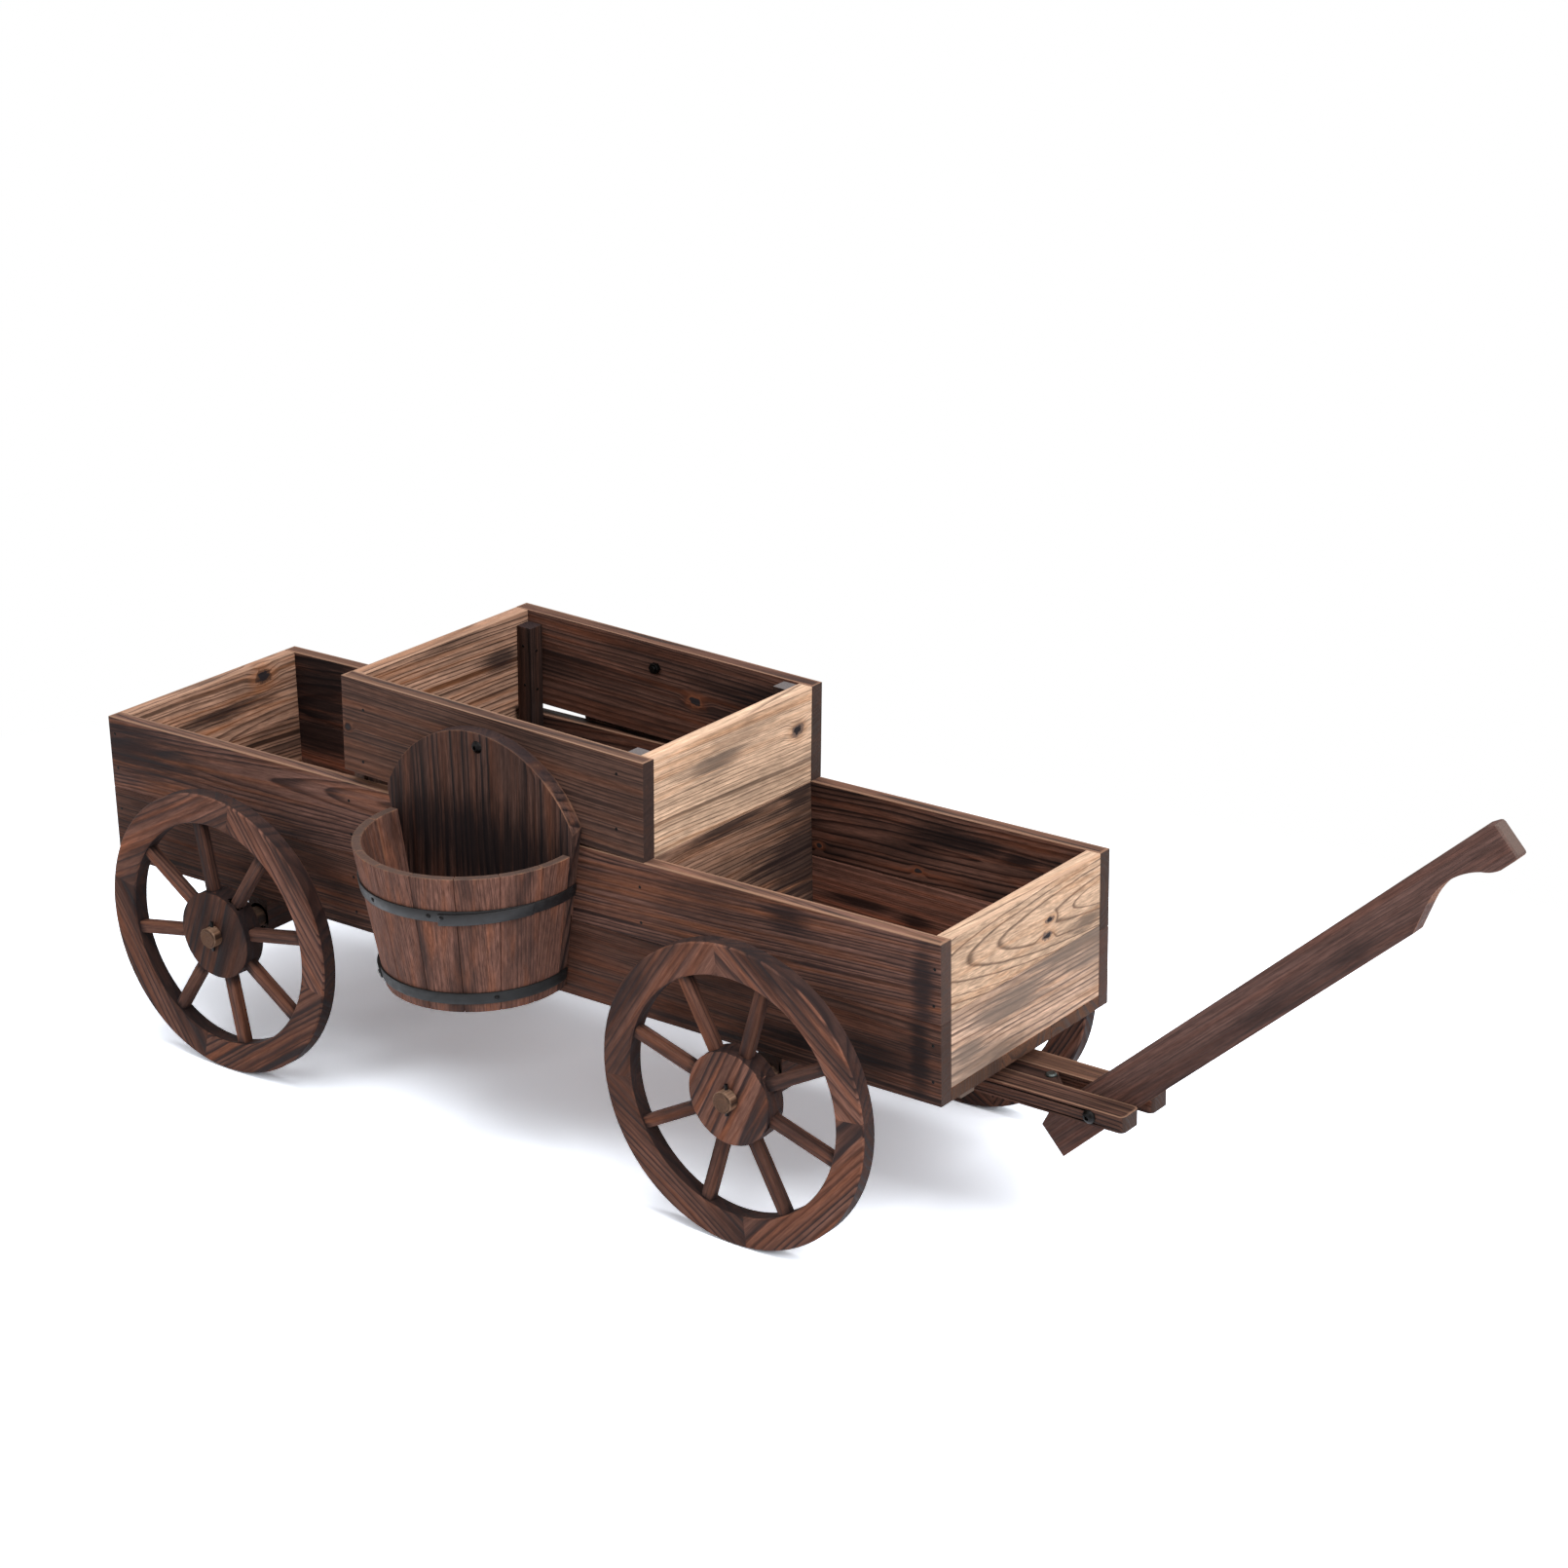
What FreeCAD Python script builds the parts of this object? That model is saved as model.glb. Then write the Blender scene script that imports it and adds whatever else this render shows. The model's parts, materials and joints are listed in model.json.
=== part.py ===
import FreeCAD, Part
import os
import re
import Sketcher

# A wooden garden cart that holds plants: a long tray in three compartments on four spoked
# wheels, an open crate over the middle, a half barrel on each side and a drawbar with a handle.
# +X points along the drawbar, -Y is the cart's right side, +Z is up and the wheels stand on z = 0.

# Driving dimensions, in millimetres and degrees
SIZES = {
    # Tray of boards joined edge to edge
    "tray_long": 800,
    "tray_wide": 209,
    "tray_tall": 119.5,
    "board_thick": 12,
    "floor_thick": 10,
    "side_lower_tall": 60,
    "end_lower_tall": 54.5,
    "floor_board_count": 3,
    "divider_thick": 10,
    "rear_divider_rise": 5,
    # Crate over the middle compartment, carried by posts that stand on the tray's floor
    "crate_front_x": 146,
    "crate_long": 288,
    "crate_tall": 75,
    "crate_tilt": 1.94,
    "post_thick": 20,
    "post_drop": 9,
    "post_clearance": 0.3,
    # Wheels
    "wheel_radius": 114,
    "axle_inset": 149,
    "wheel_middle_y": 139,
    "rim_deep": 24,
    "rim_thick": 14,
    "rim_edge": 1.2,
    "felloe_count": 4,
    "felloe_gap": 0.3,
    "hub_radius": 34.5,
    "hub_thick": 18,
    "hub_sides": 16,
    "spoke_count": 8,
    "spoke_wide": 9.5,
    "spoke_thick": 9,
    "spoke_edge": 1.2,
    "tenon_wide": 5,
    "hub_tenon_long": 9,
    "rim_tenon_long": 8,
    "tenon_clearance": 0.1,
    # How far each wheel has turned: the angle of its first spoke, from +X towards +Z
    "wheel_turn_front_right": 28,
    "wheel_turn_rear_right": 10.2,
    "wheel_turn_front_left": 39.5,
    "wheel_turn_rear_left": 2.5,
    # Axles
    "axle_drop": 17.5,
    "dowel_radius": 8,
    "dowel_end_y": 156,
    "dowel_set": 40,
    "dowel_edge": 1,
    "dowel_clearance": 0.05,
    "wheel_clearance": 0.08,
    "pin_radius": 1.25,
    "pin_long": 24,
    "pin_gap": 0.5,
    "beam_thick": 21,
    "beam_half_wide": 100,
    "beam_end_tall": 28,
    "beam_tall": 35,
    "beam_step_y": 66,
    "beam_shoulder_y": 62,
    "beam_shoulder_tall": 30.5,
    "beam_foot_y": 44.5,
    "beam_bow_radius": 660,
    # Bolster under the tray, a little behind its front end
    "bolster_set": 24,
    "bolster_thick": 15,
    "bolster_half_wide": 70,
    "bolster_foot_half_wide": 46,
    "bolster_tall": 23,
    "bolster_hollow_radius": 57,
    # Drawbar: two rails with a filler strip between them, which reach ahead of the tray's front
    "rail_wide": 21.5,
    "rail_tall": 12,
    "slot_wide": 16,
    "drawbar_reach": 97,
    "rail_corner_radius": 4.5,
    "filler_reach": 35,
    "filler_far_reach": 20,
    "pivot_reach": 70,
    "pivot_rise": 6.1,
    # Handle, in its own frame: along from the pivot bolt and across
    "handle_rest": 41.6,
    "handle_thick": 14,
    "handle_low": 13,
    "handle_high": 18.3,
    "handle_high_tip": 19,
    "heel_long": 59,
    "heel_low": 14,
    "heel_high": 13,
    "heel_slope_long": 14,
    "handle_long": 385,
    "grip_long": 97,
    "hollow_long": 76,
    "hollow_start_low": 2.3,
    "swell_long": 29,
    "hollow_end_low": 3.1,
    "hollow_radius": 50,
    "tip_flat_long": 16,
    "swell_radius": 26,
    "tip_low": 8.8,
    "tip_high": 16.6,
    "tip_slope_long": 10,
    # Fasteners
    "bolt_radius": 2.5,
    "bolt_clearance": 0.08,
    "bolt_head_radius": 4.75,
    "bolt_head_tall": 2.75,
    "socket_wide": 3,
    "socket_deep": 1.5,
    "bolt_tail": 1.5,
    "nut_wide": 8,
    "nut_tall": 4,
    "washer_radius": 5,
    "washer_thick": 1,
    "screw_head_radius": 4,
    "screw_head_tall": 2,
    "screw_radius": 1.8,
    "screw_long": 9,
    "screw_reach": 20,
    "screw_clearance": 0.05,
    # Half barrels
    "barrel_x": 2,
    "barrel_lift": 5.5,
    "barrel_tall": 110,
    "barrel_top_radius": 87,
    "barrel_foot_radius": 68.5,
    "barrel_set": 7.5,
    "back_board_thick": 12,
    "arch_radius": 96.5,
    "arch_lift": 89.2,
    "stave_thick": 7,
    "stave_count": 9,
    "stave_gap": 0.3,
    "stave_spare_angle": 9,
    "base_thick": 10,
    "base_lift": 6,
    "base_gap": 0.2,
    "hoop_tall": 9,
    "hoop_thick": 1.5,
    "hoop_gap": 0.1,
    "hoop_reach": 18,
    "upper_hoop_lift": 80,
    "lower_hoop_lift": 12,
    "hanging_bolt_lift": 175,
    "hanging_bolt_side": 2,
    # One overrun for every cut that runs past a face
    "overrun": 2,
}

# Heights above the ground
AXLE_Z = "wheel_radius"
TRAY_FOOT_Z = "(wheel_radius + axle_drop)"
FLOOR_TOP_Z = f"({TRAY_FOOT_Z} + floor_thick)"
TRAY_TOP_Z = f"({TRAY_FOOT_Z} + tray_tall)"
RAIL_FOOT_Z = f"({TRAY_FOOT_Z} - bolster_tall)"
PIVOT_Z = f"({RAIL_FOOT_Z} + pivot_rise)"
BARREL_FOOT_Z = f"({TRAY_FOOT_Z} + barrel_lift)"

# Places along and across the cart; the whole cart's middle is x = 0, so the tray lies behind it
WHEEL_REACH_X = "(tray_long / 2 - axle_inset)"
PIVOT_X = "(tray_long / 2 + pivot_reach)"
DRAWBAR_END_X = "(tray_long / 2 + drawbar_reach)"
HANDLE_TIP_X = f"({PIVOT_X} + handle_long * cos(handle_rest) + tip_low * sin(handle_rest))"
TRAY_MIDDLE_X = f"((tray_long / 2 - {HANDLE_TIP_X}) / 2)"
INNER_HALF_WIDE = "(tray_wide / 2 - board_thick)"
RAIL_OUTER_Y = "(slot_wide / 2 + rail_wide)"
FRONT_BEAM_FACE_X = f"({WHEEL_REACH_X} + beam_thick / 2)"
BARREL_AXIS_Y = "(tray_wide / 2 + back_board_thick + barrel_set)"

# The rim's round inside and the hub's flats, measured from the axle
RIM_INNER = "(wheel_radius - rim_deep)"
SPOKE_END = f"sqrt(pow({RIM_INNER}; 2) - pow(spoke_wide / 2; 2))"
SPOKE_ANGLE = "(360 / spoke_count)"
FELLOE_ANGLE = "(360 / felloe_count)"

# Feet of the crate's posts and the rear divider that they just clear, in the crate's tilted frame
CRATE_DEPTH = "(tray_tall - floor_thick)"
REAR_POST_FAR = "(crate_long - board_thick)"
REAR_POST_NEAR = f"({REAR_POST_FAR} - post_thick)"
REAR_FOOT = f"(({CRATE_DEPTH} + {REAR_POST_NEAR} * sin(crate_tilt)) / cos(crate_tilt))"
FRONT_FOOT = f"(({CRATE_DEPTH} + board_thick * sin(crate_tilt)) / cos(crate_tilt))"
REAR_DIVIDER_FACE_X = (
    f"(crate_front_x - {REAR_POST_FAR} * cos(crate_tilt) - {REAR_FOOT} * sin(crate_tilt)"
    " - post_clearance)"
)

doc = FreeCAD.newDocument("garden_cart")
sheet = doc.addObject("Spreadsheet::Sheet", "Sizes")
for row, (size_name, value) in enumerate(SIZES.items(), start=1):
    sheet.set(f"A{row}", size_name)
    sheet.set(f"B{row}", str(value))
    sheet.setAlias(f"B{row}", size_name)
doc.recompute()

nodes = []


def formula(text):
    """Point every size that a formula names at its cell in the sheet."""
    return re.sub(r"[a-z_]+", lambda word: "Sizes." + word[0] if word[0] in SIZES else word[0], text)


def number(text):
    """Work a formula out, to start a sketch near its final shape."""
    return float(sheet.evalExpression(formula(text)))


def bind(thing, **formulas):
    """Bind properties of a document object to formulas in the named sizes."""
    for prop, text in formulas.items():
        thing.setExpression(prop, formula(text))


def place(thing, x, y, z, axis=None, angle="0"):
    """Put a piece at x from the tray's middle, y from its centre line and z above the ground."""
    put(thing, f"{TRAY_MIDDLE_X} + {x}", y, z, axis, angle)


def put(thing, x, y, z, axis=None, angle="0"):
    """Put a piece at x, y and z of the frame that holds it, turned about an axis."""
    if axis:
        thing.Placement = FreeCAD.Placement(FreeCAD.Vector(), FreeCAD.Rotation(axis, 1))
        thing.setExpression("Placement.Rotation.Angle", formula(angle))
    for letter, text in (("x", x), ("y", y), ("z", z)):
        thing.setExpression(f"Placement.Base.{letter}", formula(text))


def node(thing, label):
    """Keep a finished piece under its own name."""
    thing.Label = label
    nodes.append(thing)
    return thing


def box(label, long, wide, tall):
    """A plain board or post."""
    piece = doc.addObject("Part::Box", label)
    bind(piece, Length=long, Width=wide, Height=tall)
    return piece


def new_body(label):
    """A body that may hold several separate solids."""
    body = doc.addObject("PartDesign::Body", label)
    body.AllowCompound = True
    return body


def origin(body, role):
    """One of a body's own origin planes or axes."""
    return next(item for item in body.Origin.OriginFeatures if item.Role == role)


def new_sketch(body, name, plane):
    """A sketch on one of the body's own origin planes."""
    sketch = body.newObject("Sketcher::SketchObject", name)
    sketch.AttachmentSupport = [(origin(body, plane), "")]
    sketch.MapMode = "FlatFace"
    return sketch


def fix(sketch, kind, formula_text, *reference):
    """Add one sketch dimension and bind it to its formula."""
    index = sketch.addConstraint(Sketcher.Constraint(kind, *reference, number(formula_text)))
    sketch.setExpression(f"Constraints[{index}]", formula(formula_text))


def draw_outline(sketch, points):
    """Draw a closed outline of points (across, up), each reached by a line.

    A point that also gives a radius and a turn is reached by an arc of that radius, which turns
    left for 1 and right for -1.
    """
    first = sketch.GeometryCount
    spots = [FreeCAD.Vector(number(point[0]), number(point[1]), 0) for point in points]
    ends = []
    for index, point in enumerate(points):
        start, end = spots[index - 1], spots[index]
        if len(point) == 2:
            sketch.addGeometry(Part.LineSegment(start, end), False)
            ends.append((1, 2))
            continue
        radius, turn = number(point[2]), point[3]
        chord = end - start
        side = FreeCAD.Vector(-chord.y, chord.x, 0).normalize() * turn
        centre = (start + end) * 0.5 + side * (radius ** 2 - chord.Length ** 2 / 4) ** 0.5
        low, high = (start, end) if turn > 0 else (end, start)
        circle = Part.Circle(centre, FreeCAD.Vector(0, 0, 1), radius)
        arc = Part.ArcOfCircle(circle, circle.parameter(low), circle.parameter(high))
        sketch.addGeometry(arc, False)
        ends.append((1, 2) if turn > 0 else (2, 1))
    for index, point in enumerate(points):
        following = (index + 1) % len(points)
        sketch.addConstraint(Sketcher.Constraint(
            "Coincident", first + index, ends[index][1], first + following, ends[following][0]))
        fix(sketch, "DistanceX", point[0], -1, 1, first + index, ends[index][1])
        fix(sketch, "DistanceY", point[1], -1, 1, first + index, ends[index][1])
        if len(point) > 2:
            fix(sketch, "Radius", point[2], first + index)


def draw_hole(sketch, across, up, radius):
    """Draw a round hole."""
    centre = FreeCAD.Vector(number(across), number(up), 0)
    circle = Part.Circle(centre, FreeCAD.Vector(0, 0, 1), number(radius))
    index = sketch.addGeometry(circle, False)
    fix(sketch, "DistanceX", across, -1, 1, index, 3)
    fix(sketch, "DistanceY", up, -1, 1, index, 3)
    fix(sketch, "Radius", radius, index)


def slab(label, plane, points, thick, holes=()):
    """A board with a sawn outline, its thickness centred on the sketch's plane."""
    body = new_body(label)
    sketch = new_sketch(body, label + "_outline", plane)
    draw_outline(sketch, points)
    for hole in holes:
        draw_hole(sketch, *hole)
    pad = body.newObject("PartDesign::Pad", label + "_board")
    pad.Profile = sketch
    pad.Midplane = True
    bind(pad, Length=thick)
    return body


def turned(label, points):
    """A round piece turned about Y, from an outline of (radius, y) points."""
    body = new_body(label)
    sketch = new_sketch(body, label + "_profile", "XY_Plane")
    draw_outline(sketch, points)
    turning = body.newObject("PartDesign::Revolution", label + "_turning")
    turning.Profile = sketch
    turning.ReferenceAxis = (sketch, ["V_Axis"])
    turning.Angle = 360
    return body


def repeat(body, label, features, axis, count, angle):
    """Repeat features about one of the body's own axes."""
    pattern = body.newObject("PartDesign::PolarPattern", label)
    pattern.Originals = features
    pattern.Axis = (origin(body, axis), [""])
    bind(pattern, Angle=angle, Occurrences=count)
    body.Tip = pattern


def rod(label, radius, long):
    """A cylinder whose axis is turned from Z to -Y."""
    cylinder = doc.addObject("Part::Cylinder", label)
    bind(cylinder, Radius=radius, Height=long)
    cylinder.Placement.Rotation = FreeCAD.Rotation(FreeCAD.Vector(1, 0, 0), 90)
    return cylinder


def cut(label, base, tools):
    """Cut tools out of a base."""
    whole = doc.addObject("Part::Compound", label + "_tools")
    whole.Links = tools
    piece = doc.addObject("Part::Cut", label)
    piece.Base = base
    piece.Tool = whole
    return piece


def group(label, pieces):
    """Like pieces that stay separate solids in one node."""
    whole = doc.addObject("Part::Compound", label)
    whole.Links = pieces
    return node(whole, label)


UP = FreeCAD.Vector(0, 0, 1)
TILT_AXIS = FreeCAD.Vector(0, 1, 0)
WHEEL_AXIS = FreeCAD.Vector(0, -1, 0)
SIDES = {"right": -1, "left": 1}
ENDS = {"front": 1, "rear": -1}


# Tray: long side boards cover the ends of the end boards and of the floor
def build_tray():
    for side, sign in SIDES.items():
        y = f"-tray_wide / 2 + {(sign + 1) // 2} * (tray_wide - board_thick)"
        lower = box(f"side_board_{side}_lower", "tray_long", "board_thick", "side_lower_tall")
        place(node(lower, lower.Label), "-tray_long / 2", y, TRAY_FOOT_Z)
        upper = box(f"side_board_{side}_upper", "tray_long", "board_thick", "tray_tall - side_lower_tall")
        place(node(upper, upper.Label), "-tray_long / 2", y, f"{TRAY_FOOT_Z} + side_lower_tall")
    for end, sign in ENDS.items():
        x = f"-tray_long / 2 + {(sign + 1) // 2} * (tray_long - board_thick)"
        lower = box(f"end_board_{end}_lower", "board_thick", f"2 * {INNER_HALF_WIDE}", "end_lower_tall")
        place(node(lower, lower.Label), x, f"-{INNER_HALF_WIDE}", FLOOR_TOP_Z)
        upper_tall = "tray_tall - floor_thick - end_lower_tall"
        upper = box(f"end_board_{end}_upper", "board_thick", f"2 * {INNER_HALF_WIDE}", upper_tall)
        place(node(upper, upper.Label), x, f"-{INNER_HALF_WIDE}", f"{FLOOR_TOP_Z} + end_lower_tall")
    for index, part in enumerate(("right", "middle", "left")):
        wide = f"2 * {INNER_HALF_WIDE} / floor_board_count"
        board = box(f"floor_board_{part}", "tray_long", wide, "floor_thick")
        y = f"-{INNER_HALF_WIDE} + {index} * {wide}"
        place(node(board, board.Label), "-tray_long / 2", y, TRAY_FOOT_Z)


# Dividers close the middle compartment; the rear one stands a little above the tray
def build_dividers():
    for end, face_x, tall in (
        ("front", "crate_front_x", CRATE_DEPTH),
        ("rear", REAR_DIVIDER_FACE_X, f"{CRATE_DEPTH} + rear_divider_rise"),
    ):
        board = box(f"divider_{end}", "divider_thick", f"2 * {INNER_HALF_WIDE}", tall)
        place(node(board, board.Label), f"{face_x} - divider_thick", f"-{INNER_HALF_WIDE}", FLOOR_TOP_Z)


# Crate: its frame's origin is the lower front edge, which lies on the tray, and its rear end is up
def place_in_crate(thing, along, y, up):
    x = f"crate_front_x + ({along}) * cos(crate_tilt) + ({up}) * sin(crate_tilt)"
    z = f"{TRAY_TOP_Z} - ({along}) * sin(crate_tilt) + ({up}) * cos(crate_tilt)"
    place(thing, x, y, z, TILT_AXIS, "crate_tilt")


def build_crate():
    for side, sign in SIDES.items():
        bolt_x = f"(barrel_x - {sign} * hanging_bolt_side - crate_front_x)"
        bolt_z = "(barrel_lift + hanging_bolt_lift - tray_tall)"
        hole = (
            f"{bolt_x} * cos(crate_tilt) - {bolt_z} * sin(crate_tilt)",
            f"{bolt_x} * sin(crate_tilt) + {bolt_z} * cos(crate_tilt)",
            "bolt_radius + bolt_clearance",
        )
        outline = [("-crate_long", "0"), ("0", "0"), ("0", "crate_tall"), ("-crate_long", "crate_tall")]
        board = slab(f"crate_board_{side}", "XZ_Plane", outline, "board_thick", [hole])
        place_in_crate(node(board, board.Label), "0", f"{sign} * (tray_wide - board_thick) / 2", "0")
    for end, along in (("front", "-board_thick"), ("rear", "-crate_long")):
        board = box(f"crate_board_{end}", "board_thick", f"2 * {INNER_HALF_WIDE}", "crate_tall")
        place_in_crate(node(board, board.Label), along, f"-{INNER_HALF_WIDE}", "0")
    for end, along, foot in (
        ("front", "-board_thick - post_thick", FRONT_FOOT),
        ("rear", f"-{REAR_POST_FAR}", REAR_FOOT),
    ):
        for side, y in (("right", f"-{INNER_HALF_WIDE}"), ("left", f"{INNER_HALF_WIDE} - post_thick")):
            tall = f"crate_tall - post_drop + {foot}"
            post = box(f"corner_post_{end}_{side}", "post_thick", "post_thick", tall)
            place_in_crate(node(post, post.Label), along, y, f"-{foot}")


# Wheels: four felloes and a hub that hold eight spokes by square tenons, all turned about Y
def mortise(body, label, inner, outer, angle):
    """A square tenon's pocket, repeated for every spoke."""
    sketch = new_sketch(body, label + "_outline", "XZ_Plane")
    half = "tenon_wide / 2 + tenon_clearance"
    draw_outline(sketch, [(inner, f"-({half})"), (outer, f"-({half})"), (outer, half), (inner, half)])
    sketch.AttachmentOffset = FreeCAD.Placement(FreeCAD.Vector(), FreeCAD.Rotation(UP, 1))
    sketch.setExpression("AttachmentOffset.Rotation.Angle", formula(angle))
    pocket = body.newObject("PartDesign::Pocket", label)
    pocket.Profile = sketch
    pocket.Midplane = True
    bind(pocket, Length=f"2 * ({half})")
    repeat(body, label + "_round", [pocket], "Y_Axis", "spoke_count", "360")


def build_felloes(label):
    body = new_body(label)
    sketch = new_sketch(body, label + "_section", "XY_Plane")
    half, inner, outer = "rim_thick / 2", RIM_INNER, "wheel_radius"
    draw_outline(sketch, [
        (f"{inner} + rim_edge", f"-{half}"), (f"{outer} - rim_edge", f"-{half}"),
        (outer, f"-{half} + rim_edge"), (outer, f"{half} - rim_edge"),
        (f"{outer} - rim_edge", half), (f"{inner} + rim_edge", half),
        (inner, f"{half} - rim_edge"), (inner, f"-{half} + rim_edge"),
    ])
    felloe = body.newObject("PartDesign::Revolution", label + "_felloe")
    felloe.Profile = sketch
    felloe.ReferenceAxis = (sketch, ["V_Axis"])
    bind(felloe, Angle=f"{FELLOE_ANGLE} - felloe_gap / wheel_radius * 180 / pi")
    repeat(body, label + "_rim", [felloe], "Y_Axis", "felloe_count", "360")
    mortise_end = f"{RIM_INNER} + rim_tenon_long + tenon_clearance"
    mortise(body, label + "_mortise", f"{RIM_INNER} - overrun", mortise_end, f"{SPOKE_ANGLE} / 2")
    return body


def build_hub(label):
    corners = []
    for index in range(SIZES["hub_sides"]):
        angle = f"({index} + 0.5) * 360 / hub_sides"
        reach = "hub_radius / cos(180 / hub_sides)"
        corners.append((f"{reach} * cos({angle})", f"{reach} * sin({angle})"))
    bore = ("0", "0", "dowel_radius + wheel_clearance")
    body = slab(label, "XZ_Plane", corners, "hub_thick", [bore])
    mortise_end = "hub_radius - hub_tenon_long - tenon_clearance"
    mortise(body, label + "_mortise", mortise_end, "hub_radius + overrun", "0")
    return body


def build_spokes(label):
    body = new_body(label)
    across, thick = "spoke_wide / 2", "spoke_thick / 2"
    shaft_sketch = new_sketch(body, label + "_section", "YZ_Plane")
    draw_outline(shaft_sketch, [
        (f"-{thick} + spoke_edge", f"-{across}"), (f"{thick} - spoke_edge", f"-{across}"),
        (thick, f"-{across} + spoke_edge"), (thick, f"{across} - spoke_edge"),
        (f"{thick} - spoke_edge", across), (f"-{thick} + spoke_edge", across),
        (f"-{thick}", f"{across} - spoke_edge"), (f"-{thick}", f"-{across} + spoke_edge"),
    ])
    shaft_sketch.setExpression("AttachmentOffset.Base.z", formula("hub_radius"))
    shaft = body.newObject("PartDesign::Pad", label + "_shaft")
    shaft.Profile = shaft_sketch
    bind(shaft, Length=f"{SPOKE_END} - hub_radius")
    tenon_sketch = new_sketch(body, label + "_tenon_section", "YZ_Plane")
    half = "tenon_wide / 2"
    square = [(f"-{half}", f"-{half}"), (half, f"-{half}"), (half, half), (f"-{half}", half)]
    draw_outline(tenon_sketch, square)
    tenon_sketch.setExpression("AttachmentOffset.Base.z", formula("hub_radius - hub_tenon_long"))
    tenons = body.newObject("PartDesign::Pad", label + "_tenons")
    tenons.Profile = tenon_sketch
    bind(tenons, Length=f"{RIM_INNER} + rim_tenon_long - hub_radius + hub_tenon_long")
    repeat(body, label + "_round", [shaft, tenons], "Y_Axis", "spoke_count", "360")
    return body


def build_wheels():
    for end, end_sign in ENDS.items():
        for side, side_sign in SIDES.items():
            name = f"wheel_{end}_{side}"
            turn = f"wheel_turn_{end}_{side}"
            spot = (f"{end_sign} * {WHEEL_REACH_X}", f"{side_sign} * wheel_middle_y", AXLE_Z)
            rim = node(build_felloes(name + "_felloes"), name + "_felloes")
            place(rim, *spot, WHEEL_AXIS, f"{turn} - {SPOKE_ANGLE} / 2")
            place(node(build_spokes(name + "_spokes"), name + "_spokes"), *spot, WHEEL_AXIS, turn)
            place(node(build_hub(name + "_hub"), name + "_hub"), *spot, WHEEL_AXIS, turn)


# Axles: a shaped beam under the tray holds a dowel in each end, and pins keep the hub in place
def build_axles():
    foot_tall = "(beam_tall - beam_bow_radius + sqrt(pow(beam_bow_radius; 2) - pow(beam_foot_y; 2)))"
    outline = [
        ("beam_half_wide", "0"), ("-beam_half_wide", "0"), ("-beam_half_wide", "-beam_end_tall"),
        ("-beam_step_y", "-beam_end_tall"), ("-beam_shoulder_y", "-beam_shoulder_tall"),
        ("-beam_foot_y", f"-{foot_tall}"), ("beam_foot_y", f"-{foot_tall}", "beam_bow_radius", 1),
        ("beam_shoulder_y", "-beam_shoulder_tall"), ("beam_step_y", "-beam_end_tall"),
        ("beam_half_wide", "-beam_end_tall"),
    ]
    inner_end = "(beam_half_wide - dowel_set)"
    for end, sign in ENDS.items():
        name = f"axle_beam_{end}"
        board = slab(name + "_board", "YZ_Plane", outline, "beam_thick")
        bores = []
        for side, high_y in (("right", f"-{inner_end}"), ("left", "beam_half_wide + overrun")):
            bore = rod(f"{name}_bore_{side}", "dowel_radius + dowel_clearance", "dowel_set + overrun")
            put(bore, "0", high_y, "-axle_drop")
            bores.append(bore)
        place(node(cut(name, board, bores), name), f"{sign} * {WHEEL_REACH_X}", "0", TRAY_FOOT_Z)

    dowels, pins = [], []
    outer_pin = "(wheel_middle_y + hub_thick / 2 + pin_gap + pin_radius)"
    inner_pin = "(wheel_middle_y - hub_thick / 2 - pin_gap - pin_radius)"
    for end, end_sign in ENDS.items():
        for side, side_sign in SIDES.items():
            name = f"{end}_{side}"
            x = f"{end_sign} * {WHEEL_REACH_X}"
            peg = turned(f"dowel_{name}_peg", [
                ("0", inner_end), ("dowel_radius", inner_end), ("dowel_radius", "dowel_end_y - dowel_edge"),
                ("dowel_radius - dowel_edge", "dowel_end_y"), ("0", "dowel_end_y"),
            ])
            pin_holes = []
            for where, y in (("outer", outer_pin), ("inner", inner_pin)):
                hole = doc.addObject("Part::Cylinder", f"pin_hole_{name}_{where}")
                bind(hole, Radius="pin_radius + dowel_clearance", Height="2 * (dowel_radius + overrun)")
                put(hole, "0", y, "-dowel_radius - overrun")
                pin_holes.append(hole)
                pin = doc.addObject("Part::Cylinder", f"pin_{name}_{where}")
                bind(pin, Radius="pin_radius", Height="pin_long")
                place(pin, x, f"{side_sign} * {y}", f"{AXLE_Z} - pin_long / 2")
                pins.append(pin)
            dowel = cut(f"dowel_{name}", peg, pin_holes)
            place(dowel, x, "0", AXLE_Z, UP, f"{90 - 90 * side_sign}")
            dowels.append(dowel)
    group("axle_dowels", dowels)
    group("axle_pins", pins)


# Bolster under the front of the tray, with hollow ends and a notch for the drawbar
def build_bolster():
    hollow = "bolster_hollow_radius"
    board = slab("front_bolster", "YZ_Plane", [
        ("-bolster_half_wide", "0"), ("-bolster_foot_half_wide", "-bolster_tall", hollow, -1),
        (f"-{RAIL_OUTER_Y}", "-bolster_tall"), (f"-{RAIL_OUTER_Y}", "-bolster_tall + rail_tall"),
        (RAIL_OUTER_Y, "-bolster_tall + rail_tall"), (RAIL_OUTER_Y, "-bolster_tall"),
        ("bolster_foot_half_wide", "-bolster_tall"), ("bolster_half_wide", "0", hollow, -1),
    ], "bolster_thick")
    bolster_x = "tray_long / 2 - bolster_set - bolster_thick / 2"
    place(node(board, "front_bolster"), bolster_x, "0", TRAY_FOOT_Z)


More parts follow.
